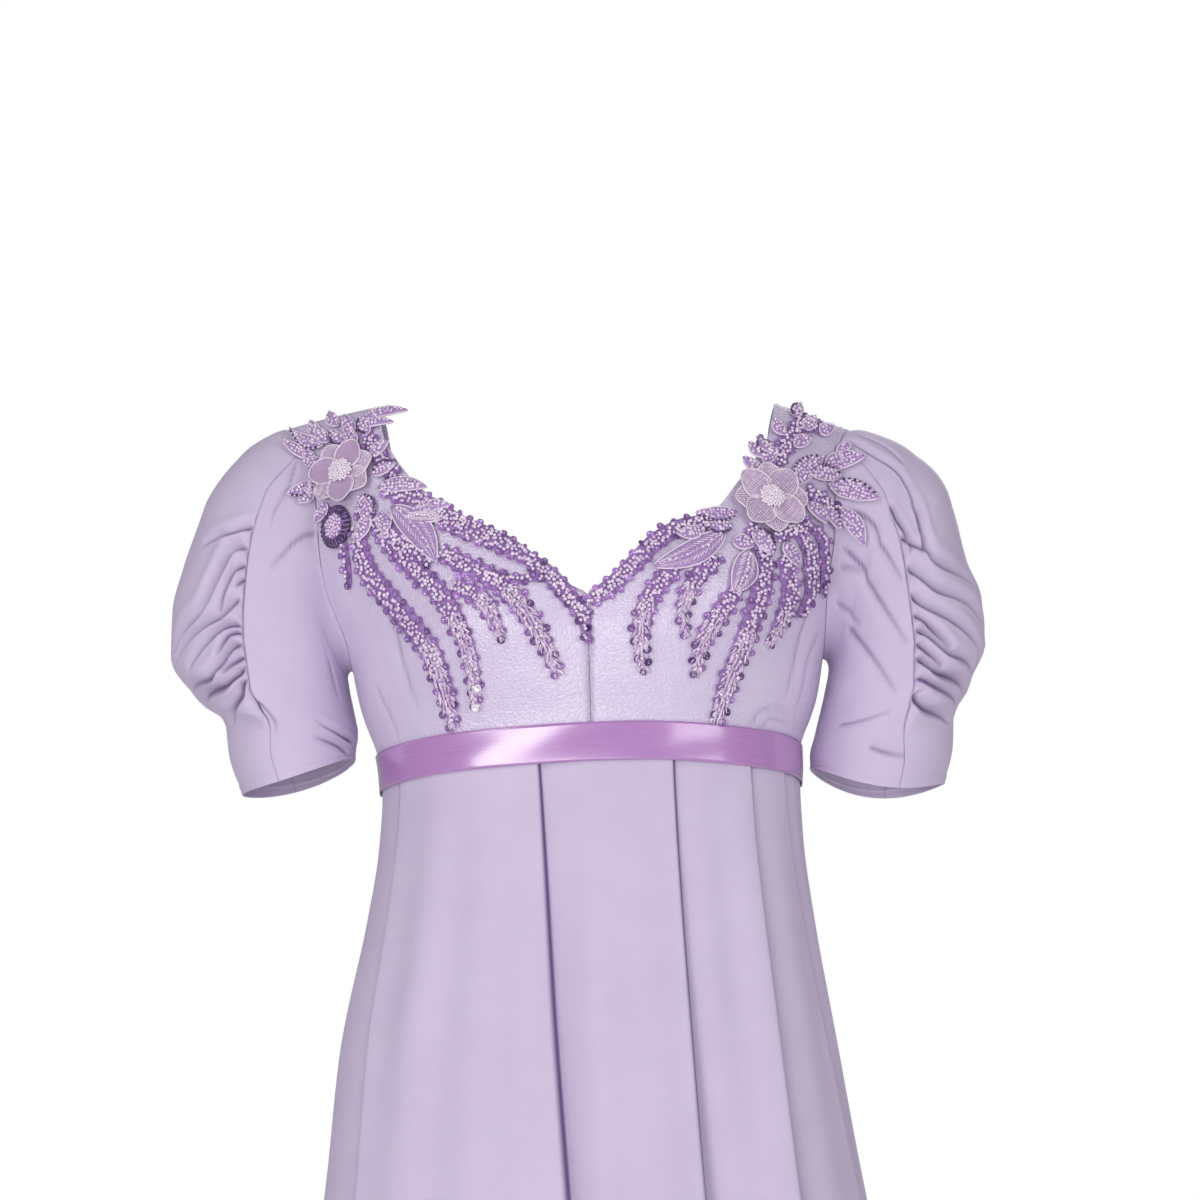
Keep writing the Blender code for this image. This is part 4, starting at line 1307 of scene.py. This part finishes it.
def netted(name, low, high, cells, strength):
    """Net or organza: fine cells in colour and relief, from the distance to the edge of Voronoi cells."""
    material, tree, shader = shader_of(name, 0.6, Sheen_Weight=0.35, Sheen_Roughness=0.4)
    place = tree.nodes.new("ShaderNodeTexCoord").outputs["Object"]
    cell = tree.nodes.new("ShaderNodeTexVoronoi")
    cell.feature = "DISTANCE_TO_EDGE"
    cell.inputs["Scale"].default_value = cells
    tree.links.new(place, cell.inputs["Vector"])
    threads = colour_between(tree, cell.outputs["Distance"], high, low, 0.04, 0.22)
    tree.links.new(threads, shader.inputs["Base Color"])
    bump_from(tree, shader, cell.outputs["Distance"], strength, 0.2 * MM)
    return material


NET = netted("purple_net", (0.28, 0.13, 0.42), (0.44, 0.26, 0.58), 900, 0.5)
ORGANZA = netted("mauve_organza", (0.43, 0.27, 0.48), (0.56, 0.40, 0.60), 1500, 0.3)
LEAF_NET = netted("lilac_leaf_net", (0.34, 0.19, 0.46), (0.50, 0.34, 0.62), 800, 0.5)

# %% [markdown]
# A beaded frond follows a line from the neck down the front. Its middle is heaped with seed beads, cup
# sequins stand in pairs along its edges, and towards its tip the seeds give way to bugles that lie like the
# barbs of a feather. The lines are listed one by one; across is the distance from the centre.
# %% Lines of the fronds
FRONDS = {
    "right": """
line across height half bugles
1    150    -101   5.0  0.75
1    146    -125   6.5  0.75
1    130    -150   7.0  0.75
1    112    -173   7.0  0.75
1    100    -192   6.8  0.75
1    93     -214   6.2  0.75
1    88     -236   3.8  0.75
2    134    -107   5.5  0.7
2    116    -129   6.5  0.7
2    96     -151   6.5  0.7
2    84     -171   6.0  0.7
2    77     -189   5.2  0.7
2    74     -207   4.4  0.7
2    73     -224   2.6  0.7
3    84     -148   6.0  0.5
3    66     -160   6.0  0.5
3    60     -172   4.6  0.5
3    55     -184   2.4  0.5
4    92     -127   5.5  0.55
4    74     -138   6.2  0.55
4    55     -150   6.8  0.55
4    41     -166   6.4  0.55
4    29     -186   5.6  0.55
4    20     -207   3.0  0.55
5    133    -76    4.5  2
5    118    -84    6.5  2
5    101    -93    7.5  2
5    83     -107   8.0  2
5    64     -117   7.5  2
5    46     -127   6.2  2
5    34     -136   5.0  2
5    22     -147   5.5  2
5    12     -159   6.2  2
5    3      -171   5.0  0.6
5    1      -187   2.0  0.6
6    64     -142   3.0  2
6    46     -147   3.2  2
6    30     -146   2.6  2
7    146    -30    3.5  2
7    142    -42    5.5  2
7    134    -56    6.0  2
7    124    -68    4.5  2
8    160    -113   2.6  2
8    158    -124   2.8  2
8    156    -138   1.6  2
9    150    -88    4.5  2
9    136    -101   6.0  2
9    118    -116   6.5  2
9    100    -131   5.5  2
""",
    "left": """
line across height half bugles
1    62     -133   4.5  0.6
1    51     -147   6.2  0.6
1    40     -161   6.6  0.6
1    34     -177   6.4  0.6
1    33     -192   5.2  0.6
1    35     -206   2.4  0.6
2    84     -135   4.5  0.55
2    69     -150   6.0  0.55
2    62     -163   5.0  0.55
2    60     -175   3.6  0.55
2    62     -185   2.0  0.55
3    98     -152   4.5  0.45
3    84     -171   6.2  0.45
3    74     -186   5.6  0.45
3    69     -200   4.4  0.45
3    68     -209   2.0  0.45
4    116    -128   5.0  0.6
4    113    -151   7.0  0.6
4    105    -174   6.6  0.6
4    97     -194   6.4  0.6
4    88     -215   6.2  0.6
4    80     -238   4.0  0.6
5    129    -131   5.0  0.7
5    132    -151   6.0  0.7
5    126    -171   5.0  0.7
5    116    -188   2.4  0.7
6    136    -109   5.0  2
6    147    -127   5.4  2
6    147    -149   4.6  2
6    138    -168   2.4  2
7    144    -106   4.0  2
7    157    -115   4.4  2
7    158    -132   3.6  2
7    156    -150   2.0  2
8    1      -162   4.0  2
8    14     -154   6.0  2
8    31     -138   6.2  2
8    46     -123   6.4  2
8    62     -114   6.4  2
8    78     -110   5.5  2
9    147    -83    5.0  2
9    158    -88    5.6  2
9    168    -91    3.6  2
10   128    -66    4.5  2
10   133    -54    6.0  2
10   142    -40    6.4  2
10   147    -28    4.6  2
10   148    -19    3.0  2
11   131    -58    4.2  2
11   122    -52    4.6  2
11   116    -48    3.0  2
12   143    -40    4.0  2
12   155    -34    4.4  2
12   165    -32    2.6  2
13   106    -112   4.5  2
13   112    -124   5.5  2
13   116    -134   4.5  2
14   124    -118   5.0  2
14   138    -110   6.0  2
14   146    -108   4.0  2
""",
}
SEED_SIZE = 2.8 * MM
SEQUIN_SIZE = 5.3 * MM
RANDOM = np.random.default_rng(11)


def frond_line(side, line, step):
    """Points of a frond every step along its smooth line: place in x and z, unit heading, half width, and
    the share of the way along."""
    ends = np.stack([side * line["across"] * MM, line["height"] * MM], axis=-1)
    length = np.concatenate([[0], np.cumsum(np.linalg.norm(np.diff(ends, axis=0), axis=1))])
    at = np.linspace(0, length[-1], max(int(length[-1] / step), 3))
    place = np.stack([curve(length, ends[:, 0], at), curve(length, ends[:, 1], at)], axis=-1)
    heading = np.gradient(place, axis=0)
    heading = heading / np.linalg.norm(heading, axis=-1, keepdims=True)
    return place, heading, curve(length, line["half"] * MM, at), at / length[-1]


def sideways(heading):
    return np.stack([-heading[:, 1], heading[:, 0]], axis=-1)


def place_on(place, out):
    return lay(place[:, 0], place[:, 1], out)


def in_plane(heading, normal):
    """A heading in x and z as a direction that lies on the relief."""
    flat = np.stack([heading[:, 0], np.zeros(len(heading)), heading[:, 1]], axis=-1)
    flat = flat - (flat * normal).sum(-1, keepdims=True) * normal
    return flat / np.linalg.norm(flat, axis=-1, keepdims=True)


def tilted(normal, amount):
    """The normals, each turned a random way by up to that share of a unit."""
    up = normal + RANDOM.uniform(-amount, amount, normal.shape)
    return up / np.linalg.norm(up, axis=-1, keepdims=True)


def scattered(normals, amount):
    """Frames of copies that lean by up to the amount and are turned about, both at random."""
    up = tilted(normals, amount)
    return upright_frames(up, RANDOM.uniform(-1, 1, normals.shape))


def seeds_of(side, line):
    """Seed beads of one frond: rows every 0.84 of a bead, each row as many beads as fit its width, jittered,
    heaped towards the middle. Returns places and normals."""
    place, heading, half, share = frond_line(side, line, 0.84 * SEED_SIZE)
    slots = np.arange(-3, 4)[None, :] * 0.88 * SEED_SIZE
    fits = np.abs(slots) <= half[:, None] - 0.75 * SEED_SIZE
    offset = slots + RANDOM.uniform(-0.9, 0.9, fits.shape) * MM
    keep = fits & (RANDOM.random(fits.shape) > np.where(share[:, None] > line["bugles"][0], 0.72, 0.06))
    x, z = [place[:, [i]] + sideways(heading)[:, [i]] * offset + RANDOM.uniform(-0.9, 0.9, fits.shape) * MM
            for i in (0, 1)]
    heap = 1.5 * MM + 1.3 * MM * (1 - (offset / np.maximum(half[:, None], MM)) ** 2)
    heap = heap + RANDOM.uniform(-0.5, 0.5, fits.shape) * MM
    return lay(x[keep], z[keep], heap[keep])


def bugles_of(side, line):
    """Bugles past the frond's bugle share: fours every 1.3 mm that lean out by up to 29 degrees, as barbs."""
    place, heading, half, share = frond_line(side, line, 1.3 * MM)
    past = share > line["bugles"][0] - 0.12
    place, heading, half = place[past], heading[past], half[past]
    out, head = [], []
    for lean in (-1, -0.3, 0.3, 1):
        turn = lean * 0.5 + RANDOM.uniform(-0.15, 0.15, len(place))
        beside = sideways(heading)
        barb = heading * np.cos(turn)[:, None] + beside * np.sin(turn)[:, None]
        spot = place + beside * (lean * 0.62 * half)[:, None] + RANDOM.uniform(-0.6, 0.6, place.shape) * MM
        out.append(spot)
        head.append(barb)
    return np.concatenate(out), np.concatenate(head)


def sequins_of(side, line):
    """Cup sequins along both edges, about 8 mm apart, the two edges out of step."""
    place, heading, half, share = frond_line(side, line, 3.9 * MM)
    which = np.where(np.arange(len(place)) % 2 == 0, 1, -1)
    edge = np.maximum(half - 0.16 * SEQUIN_SIZE, 1.3 * MM)
    spot = place + sideways(heading) * (which * edge)[:, None]
    return spot + RANDOM.uniform(-0.8, 0.8, spot.shape) * MM, share


# %% Sew the fronds
for name, side in SIDES.items():
    lines = lines_of(FRONDS[name])
    seeds = [seeds_of(side, line) for line in lines]
    places, normals = (np.concatenate(each) for each in zip(*seeds))
    many(f"seed_beads_{name}", SEED, places, scattered(normals, 1.1),
         SEED_SIZE * RANDOM.uniform(0.86, 1.12, len(places)), RANDOM.random(len(places)) ** 0.55,
         PEARL, "beaded_lace")

    spots, heads = (np.concatenate(each) for each in zip(*[bugles_of(side, line) for line in lines
                                                           if line["bugles"].min() < 1]))
    places, normals = place_on(spots, RANDOM.uniform(0.8, 2.2, len(spots)) * MM)
    frames = upright_frames(in_plane(heads, normals), normals)
    many(f"bugle_beads_{name}", BUGLE, places, frames, RANDOM.uniform(3.6, 5.4, len(places)) * MM,
         RANDOM.random(len(places)) ** 0.6, PEARL, "beaded_lace")

    spots, shares = (np.concatenate(each) for each in zip(*[sequins_of(side, line) for line in lines]))
    places, normals = place_on(spots, RANDOM.uniform(0.9, 1.9, len(spots)) * MM)
    # Painted shade: sequins are painted darker towards each frond's tip, standing for sequins turned from the
    # light, with a random spread on top.
    tint = np.clip(1.05 - 0.75 * shares + RANDOM.uniform(-0.35, 0.35, len(shares)), 0, 1)
    many(f"sequins_{name}", CUP, places, scattered(normals, 0.38),
         SEQUIN_SIZE * RANDOM.uniform(0.9, 1.08, len(places)), tint, SEQUIN, "beaded_lace")

# Painted highlight: two sequins are coloured near white, standing for sequins that catch the light.
shine, tree, shader = shader_of("painted_glint_sequins", 0.12, Metallic=0.2, Coat_Weight=1.0)
shader.inputs["Base Color"].default_value = (0.95, 0.93, 0.96, 1)
places, normals = lay(np.array([-71, -73]) * MM, np.array([-213, -225]) * MM, np.full(2, 2.4 * MM))
many("painted_glint_sequins", CUP, places, upright_frames(normals, np.array([[1.0, 0, 0.3], [1.0, 0, -0.5]])),
     np.full(2, SEQUIN_SIZE), np.ones(2), shine, "beaded_lace")

# %% [markdown]
# Under the beads the lace has a ground of fine purple net, cut away between the fronds. It is what is really
# sewn to the crepe, in small stitches along its edge. Each frond's net is a strip a little narrower than its
# beads, and a side's strips make one comb.
# %% Lay the net
def strips_of(side, lines, rows=40, columns=5):
    """A grid along each frond, 0.92 of its width and 0.7 mm above the cloth: places and quads, joined."""
    grids = []
    share = np.linspace(-0.92, 0.92, columns)
    for line in lines:
        place, heading, half, _ = frond_line(side, line, 0.6 * MM)
        pick = np.linspace(0, len(place) - 1, rows).astype(int)
        spot = place[pick, None] + (sideways(heading)[pick] * half[pick, None])[:, None] * share[:, None]
        grids.append(lay(spot[..., 0], spot[..., 1], np.full(spot.shape[:2], 0.7 * MM))[0])
    return np.stack(grids)


def joined_grids(name, grids, material, slot, *nodes, wall=0.4 * MM):
    """Many grids of the same size as one mesh, turned to face forwards."""
    count, rows, columns = grids.shape[:3]
    quads = grid_quads(rows, columns)
    corners = grids.reshape(count, -1, 3)[:, quads]
    facing = np.cross(corners[:, :, 2] - corners[:, :, 0], corners[:, :, 3] - corners[:, :, 1])
    ahead = facing[..., 1].sum(axis=1)
    turned_quads = np.where((ahead > 0)[:, None, None], quads[None, :, ::-1], quads[None])
    faces = turned_quads + (np.arange(count) * rows * columns)[:, None, None]
    mesh = mesh_from(name, grids.reshape(-1, 3), faces.reshape(-1, 4))
    return sew(name, mesh, material, slot, *nodes, wall=wall, outwards=True)


for name, side in SIDES.items():
    strips = strips_of(side, lines_of(FRONDS[name]))
    piece = joined_grids(f"lace_net_{name}", strips, NET, "beaded_lace", f"lace_{name}")

# %% [markdown]
# Leaves are small pointed ovals of net, bound with a round of pale thread. Some are left open with stitched
# veins, some are packed with beads, and some have a dark beaded edge. They are worked apart and sewn down by
# their bases, so that their tips stand a little off the cloth.
# %% Leaves
OPEN, BEADED, EDGED = 0, 1, 2
LEAVES = {
    "right": """
base_x base_z tip_x tip_z half kind
126    -90    95    -133  9.0  0
176    -38    202   -21   4.6  2
181    -44    206   -31   4.0  1
180    -60    201   -72   4.8  2
181    -66    194   -78   4.0  1
148    -20    119   -17   4.0  1
150    -26    128   -27   3.6  1
178    -30    186   -18   4.0  1
172    -36    180   -24   4.0  1
160    -40    170   -28   4.2  2
152    -40    160   -26   4.0  1
154    -30    162   -17   4.0  1
166    -24    174   -12   3.8  1
144    -34    150   -20   4.0  2
136    -76    102   -80   5.2  1
148    -80    140   -98   6.0  2
134    -94    129   -109  5.0  1
176    -50    190   -47   4.6  1
141    -52    130   -43   4.4  1
139    -66    124   -60   4.6  2
118    -100   92    -104  4.6  0
172    -80    180   -92   4.2  1
143    -94    150   -112  4.6  1
112    -96    86    -94   4.0  1
""",
    "left": """
base_x base_z tip_x tip_z half kind
160    -62    190   -56   6.6  1
162    -76    197   -87   6.6  2
170    -91    187   -118  5.0  1
150    -71    171   -69   5.4  2
138    -80    158   -58   6.4  2
90     -117   42    -142  8.0  0
104    -129   92    -158  8.0  0
98     -103   70    -104  5.0  2
94     -113   76    -114  4.2  2
94     -124   107   -126  5.0  1
108    -115   119   -131  6.0  2
116    -72    105   -64   4.2  1
119    -62    110   -52   4.0  1
150    -38    157   -26   4.2  1
160    -40    169   -31   4.2  1
143    -28    149   -16   4.0  2
134    -44    128   -32   4.2  1
124    -60    116   -50   4.4  2
140    -52    152   -44   4.4  1
146    -92    158   -104  4.6  1
158    -92    168   -106  4.6  2
128    -122   136   -136  5.0  1
76     -116   58    -120  4.6  1
118    -66    128   -56   4.4  1
170    -52    182   -46   4.0  1
""",
}
STITCH = turned_shape([(0, 0.5), (0.075, 0.32), (0.075, -0.32), (0, -0.5)], 5)
LEAF_LIFT = 2.0 * MM
RIB_BEAD = 2.5 * MM  # small seeds on the open leaves' ribs and in the medallion
EDGE_BEAD = 2.3 * MM


def leaf_place(side, leaves, along, across):
    """Places on leaves: along from 0 at the base to 1 at the tip, across from -1 to 1 of the half width,
    which is the half times sin(pi times along^0.85)^0.75. The leaf is bowed sideways by 7 % of its length."""
    base = np.stack([side * leaves["base_x"], leaves["base_z"]], axis=-1)[:, None, :] * MM
    tip = np.stack([side * leaves["tip_x"], leaves["tip_z"]], axis=-1)[:, None, :] * MM
    reach = tip - base
    beside = np.stack([-reach[..., 1], reach[..., 0]], axis=-1)
    length = np.linalg.norm(reach, axis=-1, keepdims=True)
    wide = leaves["half"][:, None] * MM * np.sin(math.pi * np.clip(along, 0, 1) ** 0.85).clip(0) ** 0.75
    bow = 0.07 * length[..., 0] * np.sin(math.pi * along)
    spot = base + reach * along[..., None] + beside / length * (across * wide + bow)[..., None]
    return spot, wide


def on_leaf(side, leaves, along, across, out=0.0):
    """The same places on the relief, lifted: a leaf's tip and its middle line stand higher."""
    spot, _ = leaf_place(side, leaves, along, across)
    lift = LEAF_LIFT + 1.2 * MM * along + 0.9 * MM * (1 - across**2) + out
    return lay(spot[..., 0], spot[..., 1], lift)


def closed_tubes(name, paths, normals, radius, material, slot):
    """Round threads of five sides along closed paths."""
    heading = np.roll(paths, -1, axis=1) - np.roll(paths, 1, axis=1)
    heading = heading / np.maximum(np.linalg.norm(heading, axis=-1, keepdims=True), 1e-9)
    across = np.cross(heading, normals)
    angle = np.linspace(0, 2 * math.pi, 5, endpoint=False)[:, None]
    round_it = np.cos(angle) * across[:, :, None] + np.sin(angle) * normals[:, :, None]
    rings = paths[:, :, None] + radius * round_it
    count, length = paths.shape[:2]
    index = np.arange(length * 5).reshape(length, 5)
    after = np.roll(index, -1, axis=0)
    quads = np.stack([index, after, np.roll(after, -1, axis=1), np.roll(index, -1, axis=1)], axis=-1)
    quads = quads.reshape(-1, 4)
    faces = (quads[None] + (np.arange(count) * length * 5)[:, None, None]).reshape(-1, 4)
    vertices = rings.reshape(-1, 3)
    mesh = mesh_from(name, vertices, faces)
    store(mesh, "tint", RANDOM.uniform(0.3, 1, len(vertices)))
    return sew(name, mesh, material, slot, wall=None)


def round_leaf(steps=28):
    """The outline of a leaf once round: along, and across just inside its edge."""
    share = np.arange(steps) / steps
    along = np.where(share < 0.5, 2 * share, 2 - 2 * share)
    return along[None, :], np.where(share < 0.5, 1.0, -1.0)[None, :]


def some(leaves, *kinds):
    keep = np.isin(leaves["kind"], kinds)
    return {key: values[keep] for key, values in leaves.items()}


def packed(side, leaves):
    """A lattice of seed places inside each leaf, 0.86 of a bead apart, jittered."""
    step = 0.86 * SEED_SIZE
    length = np.hypot(leaves["tip_x"] - leaves["base_x"], leaves["tip_z"] - leaves["base_z"])[:, None] * MM
    rank, file = np.meshgrid(np.arange(26), np.arange(-4, 5), indexing="ij")
    along = (rank.ravel()[None, :] + 0.6) * step / length
    along = along + RANDOM.uniform(-0.7, 0.7, along.shape) * MM / length
    offset = file.ravel()[None, :] * step * 0.95 + RANDOM.uniform(-0.7, 0.7, along.shape) * MM
    _, wide = leaf_place(side, leaves, np.clip(along, 0, 1), np.zeros_like(along))
    keep = (along < 0.97) & (np.abs(offset) < wide - 0.9 * MM)
    across = offset / np.maximum(wide, 0.5 * MM)
    places, normals = on_leaf(side, leaves, np.clip(along, 0, 1), np.clip(across, -1, 1), 0.9 * MM)
    return places[keep], normals[keep]


# %% Sew the leaves
for name, side in SIDES.items():
    leaves = table(LEAVES[name])
    along = np.linspace(0.015, 0.985, 13)[None, :, None] + np.zeros((len(leaves["half"]), 1, 7))
    across = np.linspace(-1, 1, 7)[None, None, :] + 0 * along
    flat_shape = (len(leaves["half"]), -1)
    shells = on_leaf(side, leaves, along.reshape(flat_shape), across.reshape(flat_shape))[0]
    shells = shells.reshape(*along.shape, 3)
    piece = joined_grids(f"lace_leaves_{name}", shells, LEAF_NET, "beaded_lace")

    ring_along, ring_across = round_leaf()
    every = np.zeros((len(leaves["half"]), 1))
    paths, normals = on_leaf(side, leaves, ring_along + every, ring_across + every, 0.2 * MM)
    closed_tubes(f"leaf_outlines_{name}", paths, normals, 0.62 * MM, THREAD, "beaded_lace")

    places, normals = packed(side, some(leaves, BEADED, EDGED))
    many(f"leaf_beads_{name}", SEED, places, scattered(normals, 1.0),
         0.92 * SEED_SIZE * RANDOM.uniform(0.86, 1.1, len(places)), RANDOM.random(len(places)) ** 0.6,
         PEARL, "beaded_lace")

    open_ones = some(leaves, OPEN)
    veins = np.linspace(0.10, 0.88, 16)[None, :] + np.zeros((len(open_ones["half"]), 1))
    sites, heads = [], []
    for lean in (-0.5, 0.0, 0.5):
        start, normals = on_leaf(side, open_ones, veins, 0 * veins + lean * 0.9, 0.5 * MM)
        end = on_leaf(side, open_ones, np.clip(veins + 0.07, 0, 1), 0 * veins + lean * 1.5, 0.5 * MM)[0]
        sites.append((start.reshape(-1, 3), normals.reshape(-1, 3)))
        heads.append((end - start).reshape(-1, 3))
    places, normals = (np.concatenate(each) for each in zip(*sites))
    heads = np.concatenate(heads)
    heads = heads / np.linalg.norm(heads, axis=-1, keepdims=True)
    many(f"leaf_stitches_{name}", STITCH, places, upright_frames(heads, normals),
         RANDOM.uniform(4.2, 6.0, len(places)) * MM, RANDOM.random(len(places)), THREAD, "beaded_lace")

    ribs = np.linspace(0.10, 0.86, 12)[None, :] + np.zeros((len(open_ones["half"]), 1))
    wander = RANDOM.uniform(-0.16, 0.16, ribs.shape)
    places, normals = (each.reshape(-1, 3) for each in on_leaf(side, open_ones, ribs, wander, 1.2 * MM))
    many(f"leaf_rib_beads_{name}", SEED, places, scattered(normals, 0.9),
         RIB_BEAD * RANDOM.uniform(0.86, 1.1, len(places)), RANDOM.random(len(places)) ** 0.6,
         PEARL, "beaded_lace")

    edged = some(leaves, EDGED)
    edge_along = np.linspace(0.1, 0.9, 9)[None, :] + np.zeros((len(edged["half"]), 1))
    beside = on_leaf(side, edged, edge_along, 0 * edge_along + 1, 0.9 * MM)
    places, normals = (each.reshape(-1, 3) for each in beside)
    frames = upright_frames(normals, RANDOM.uniform(-1, 1, places.shape))
    many(f"leaf_edge_beads_{name}", SEED, places, frames, np.full(len(places), EDGE_BEAD),
         RANDOM.random(len(places)), DARK_BEAD, "beaded_lace")

# %% [markdown]
# One organza flower sits on each shoulder side. Its petals overlap in two layers and are bound with pale
# thread. On the left flower every petal is worked with rays of thread, on the right one every second petal,
# and the others are left plain mauve. A knotted disc hides the middle.
# %% Flowers
FLOWERS = {"right": (-160, -61, 21.5, 7, 0.3), "left": (120, -92, 23.5, 8, 0.1)}
PETAL_HALF = 0.42  # half width of a petal, in flower radii
KNOT_SIZE = 2.5 * MM
GOLDEN_ANGLE = math.pi * (3 - math.sqrt(5))  # turn between neighbours of an even spiral


def on_petal(flower, turn, along, across, out=0.0):
    """Places on petals: along from the middle to the tip, the half width in proportion to
    sin(pi times (0.14 + 0.72 along))^0.6. Every second petal lies 1 mm higher, and all are cupped."""
    x, z, radius, _, _ = flower
    reach = radius * MM * (0.16 + 0.84 * along * (1 - 0.17 * across**2))
    wide = PETAL_HALF * radius * MM * np.sin(math.pi * (0.14 + 0.72 * along)) ** 0.6
    layer = np.arange(turn.shape[0]).reshape(-1, *[1] * (along.ndim - 1)) % 2
    lift = 3.2 * MM + 1.0 * MM * layer + 1.8 * MM * along**2 + 0.5 * MM * np.abs(across) + out
    return lay(x * MM + np.cos(turn) * reach - np.sin(turn) * across * wide,
               z * MM + np.sin(turn) * reach + np.cos(turn) * across * wide, lift)


for name, flower in FLOWERS.items():
    x, z, radius, count, start = flower
    turn = (start + 2 * math.pi * np.arange(count) / count)[:, None, None]
    turn = turn + RANDOM.uniform(-0.06, 0.06, (count, 1, 1))
    along = np.linspace(0, 1, 12)[None, :, None] + 0 * turn
    across = np.linspace(-1, 1, 9)[None, None, :] + 0 * turn
    petals = on_petal(flower, turn, along + 0 * across, across + 0 * along)[0]
    piece = joined_grids(f"flower_petals_{name}", petals, ORGANZA, "organza", f"flower_{name}")

    up, over = np.linspace(0.12, 1, 12)[:-1], np.linspace(1, -1, 13)
    ring_along = np.concatenate([up, np.ones(13), up[::-1]])[None, :]
    ring_across = np.concatenate([np.ones(11), over, -np.ones(11)])[None, :]
    every = np.zeros((count, 1))
    paths, normals = on_petal(flower, turn[..., 0], ring_along + every, ring_across + every, 0.4 * MM)
    closed_tubes(f"petal_outlines_{name}", paths, normals, 0.5 * MM, THREAD, "organza")

    rays = np.linspace(-0.88, 0.88, 12)
    steps = np.array([0.18, 0.36, 0.54, 0.72, 0.88])
    ray, step = np.meshgrid(rays, steps, indexing="ij")
    chosen = (np.arange(count) % 2 == 0) | (name == "left")
    ray_across = np.where(chosen[:, None], ray.ravel()[None, :], 0.9 * np.sign(ray.ravel())[None, :])
    start_at, normals = on_petal(flower, turn[..., 0], step.ravel()[None, :] + every, ray_across, 0.6 * MM)
    further = np.clip(step.ravel() + 0.1, 0, 1)[None, :] + every
    end_at = on_petal(flower, turn[..., 0], further, ray_across, 0.6 * MM)[0]
    heads = (end_at - start_at).reshape(-1, 3)
    heads = heads / np.linalg.norm(heads, axis=-1, keepdims=True)
    places = start_at.reshape(-1, 3)
    many(f"petal_stitches_{name}", STITCH, places, upright_frames(heads, normals.reshape(-1, 3)),
         RANDOM.uniform(3.6, 4.8, len(places)) * MM, RANDOM.random(len(places)), THREAD, "organza")

    order = np.arange(70)
    spiral = 7.6 * MM * np.sqrt((order + 0.5) / len(order))
    angle = order * GOLDEN_ANGLE
    lift = 5.6 * MM + 1.6 * MM * np.sqrt(np.clip(1 - (spiral / (8.4 * MM)) ** 2, 0, 1))
    places, normals = lay(x * MM + spiral * np.cos(angle), z * MM + spiral * np.sin(angle), lift)
    many(f"flower_knots_{name}", KNOT, places, scattered(normals, 0.5),
         KNOT_SIZE * RANDOM.uniform(0.9, 1.1, len(places)), 0.4 + 0.6 * RANDOM.random(len(places)),
         THREAD, "organza")

# %% [markdown]
# Below the right flower hangs an oval medallion: a small domed pad of net, closely covered, with two rounds
# of dark purple beads and pale seeds in its middle.
# %% Medallion
MEDALLION = (-165, -98)
MEDALLION_HALF = np.array([10, 14]) * MM


def on_medallion(radius, angle, out=0.0):
    """Places on the pad: radius from 0 in the middle to 1 at its edge, domed by 3 mm."""
    lift = 1.0 * MM + 3.0 * MM * np.sqrt(np.clip(1.02 - radius**2, 0, 1)) + out
    return lay(MEDALLION[0] * MM + MEDALLION_HALF[0] * radius * np.cos(angle),
               MEDALLION[1] * MM + MEDALLION_HALF[1] * radius * np.sin(angle), lift)


places, normals, tints = [], [], []
for radius, count in ((0.98, 28), (0.83, 24), (0.68, 20)):
    angle = np.linspace(0, 2 * math.pi, count, endpoint=False) + radius
    spots, ups = on_medallion(np.full(count, radius), angle, 0.3 * MM)
    places.append(spots)
    normals.append(ups)
places, normals = np.concatenate(places), np.concatenate(normals)
many("medallion_dark_beads", SEED, places, scattered(normals, 0.4),
     SEED_SIZE * RANDOM.uniform(0.9, 1.1, len(places)), RANDOM.random(len(places)) ** 3,
     DARK_BEAD, "dark_beads")
order = np.arange(34)
radius = 0.56 * np.sqrt((order + 0.5) / len(order))
places, normals = on_medallion(radius, order * GOLDEN_ANGLE, 0.4 * MM)
many("medallion_pale_beads", SEED, places, scattered(normals, 0.7),
     RIB_BEAD * RANDOM.uniform(0.9, 1.1, len(places)), RANDOM.random(len(places)) ** 0.4,
     PEARL, "dark_beads")
grid_radius, grid_angle = np.meshgrid(np.linspace(0.04, 1.0, 8), np.linspace(0, 2 * math.pi, 37),
                                      indexing="ij")
pad = on_medallion(grid_radius, grid_angle)[0][None]
piece = joined_grids("medallion_pad", pad, NET, "dark_beads", "medallion")
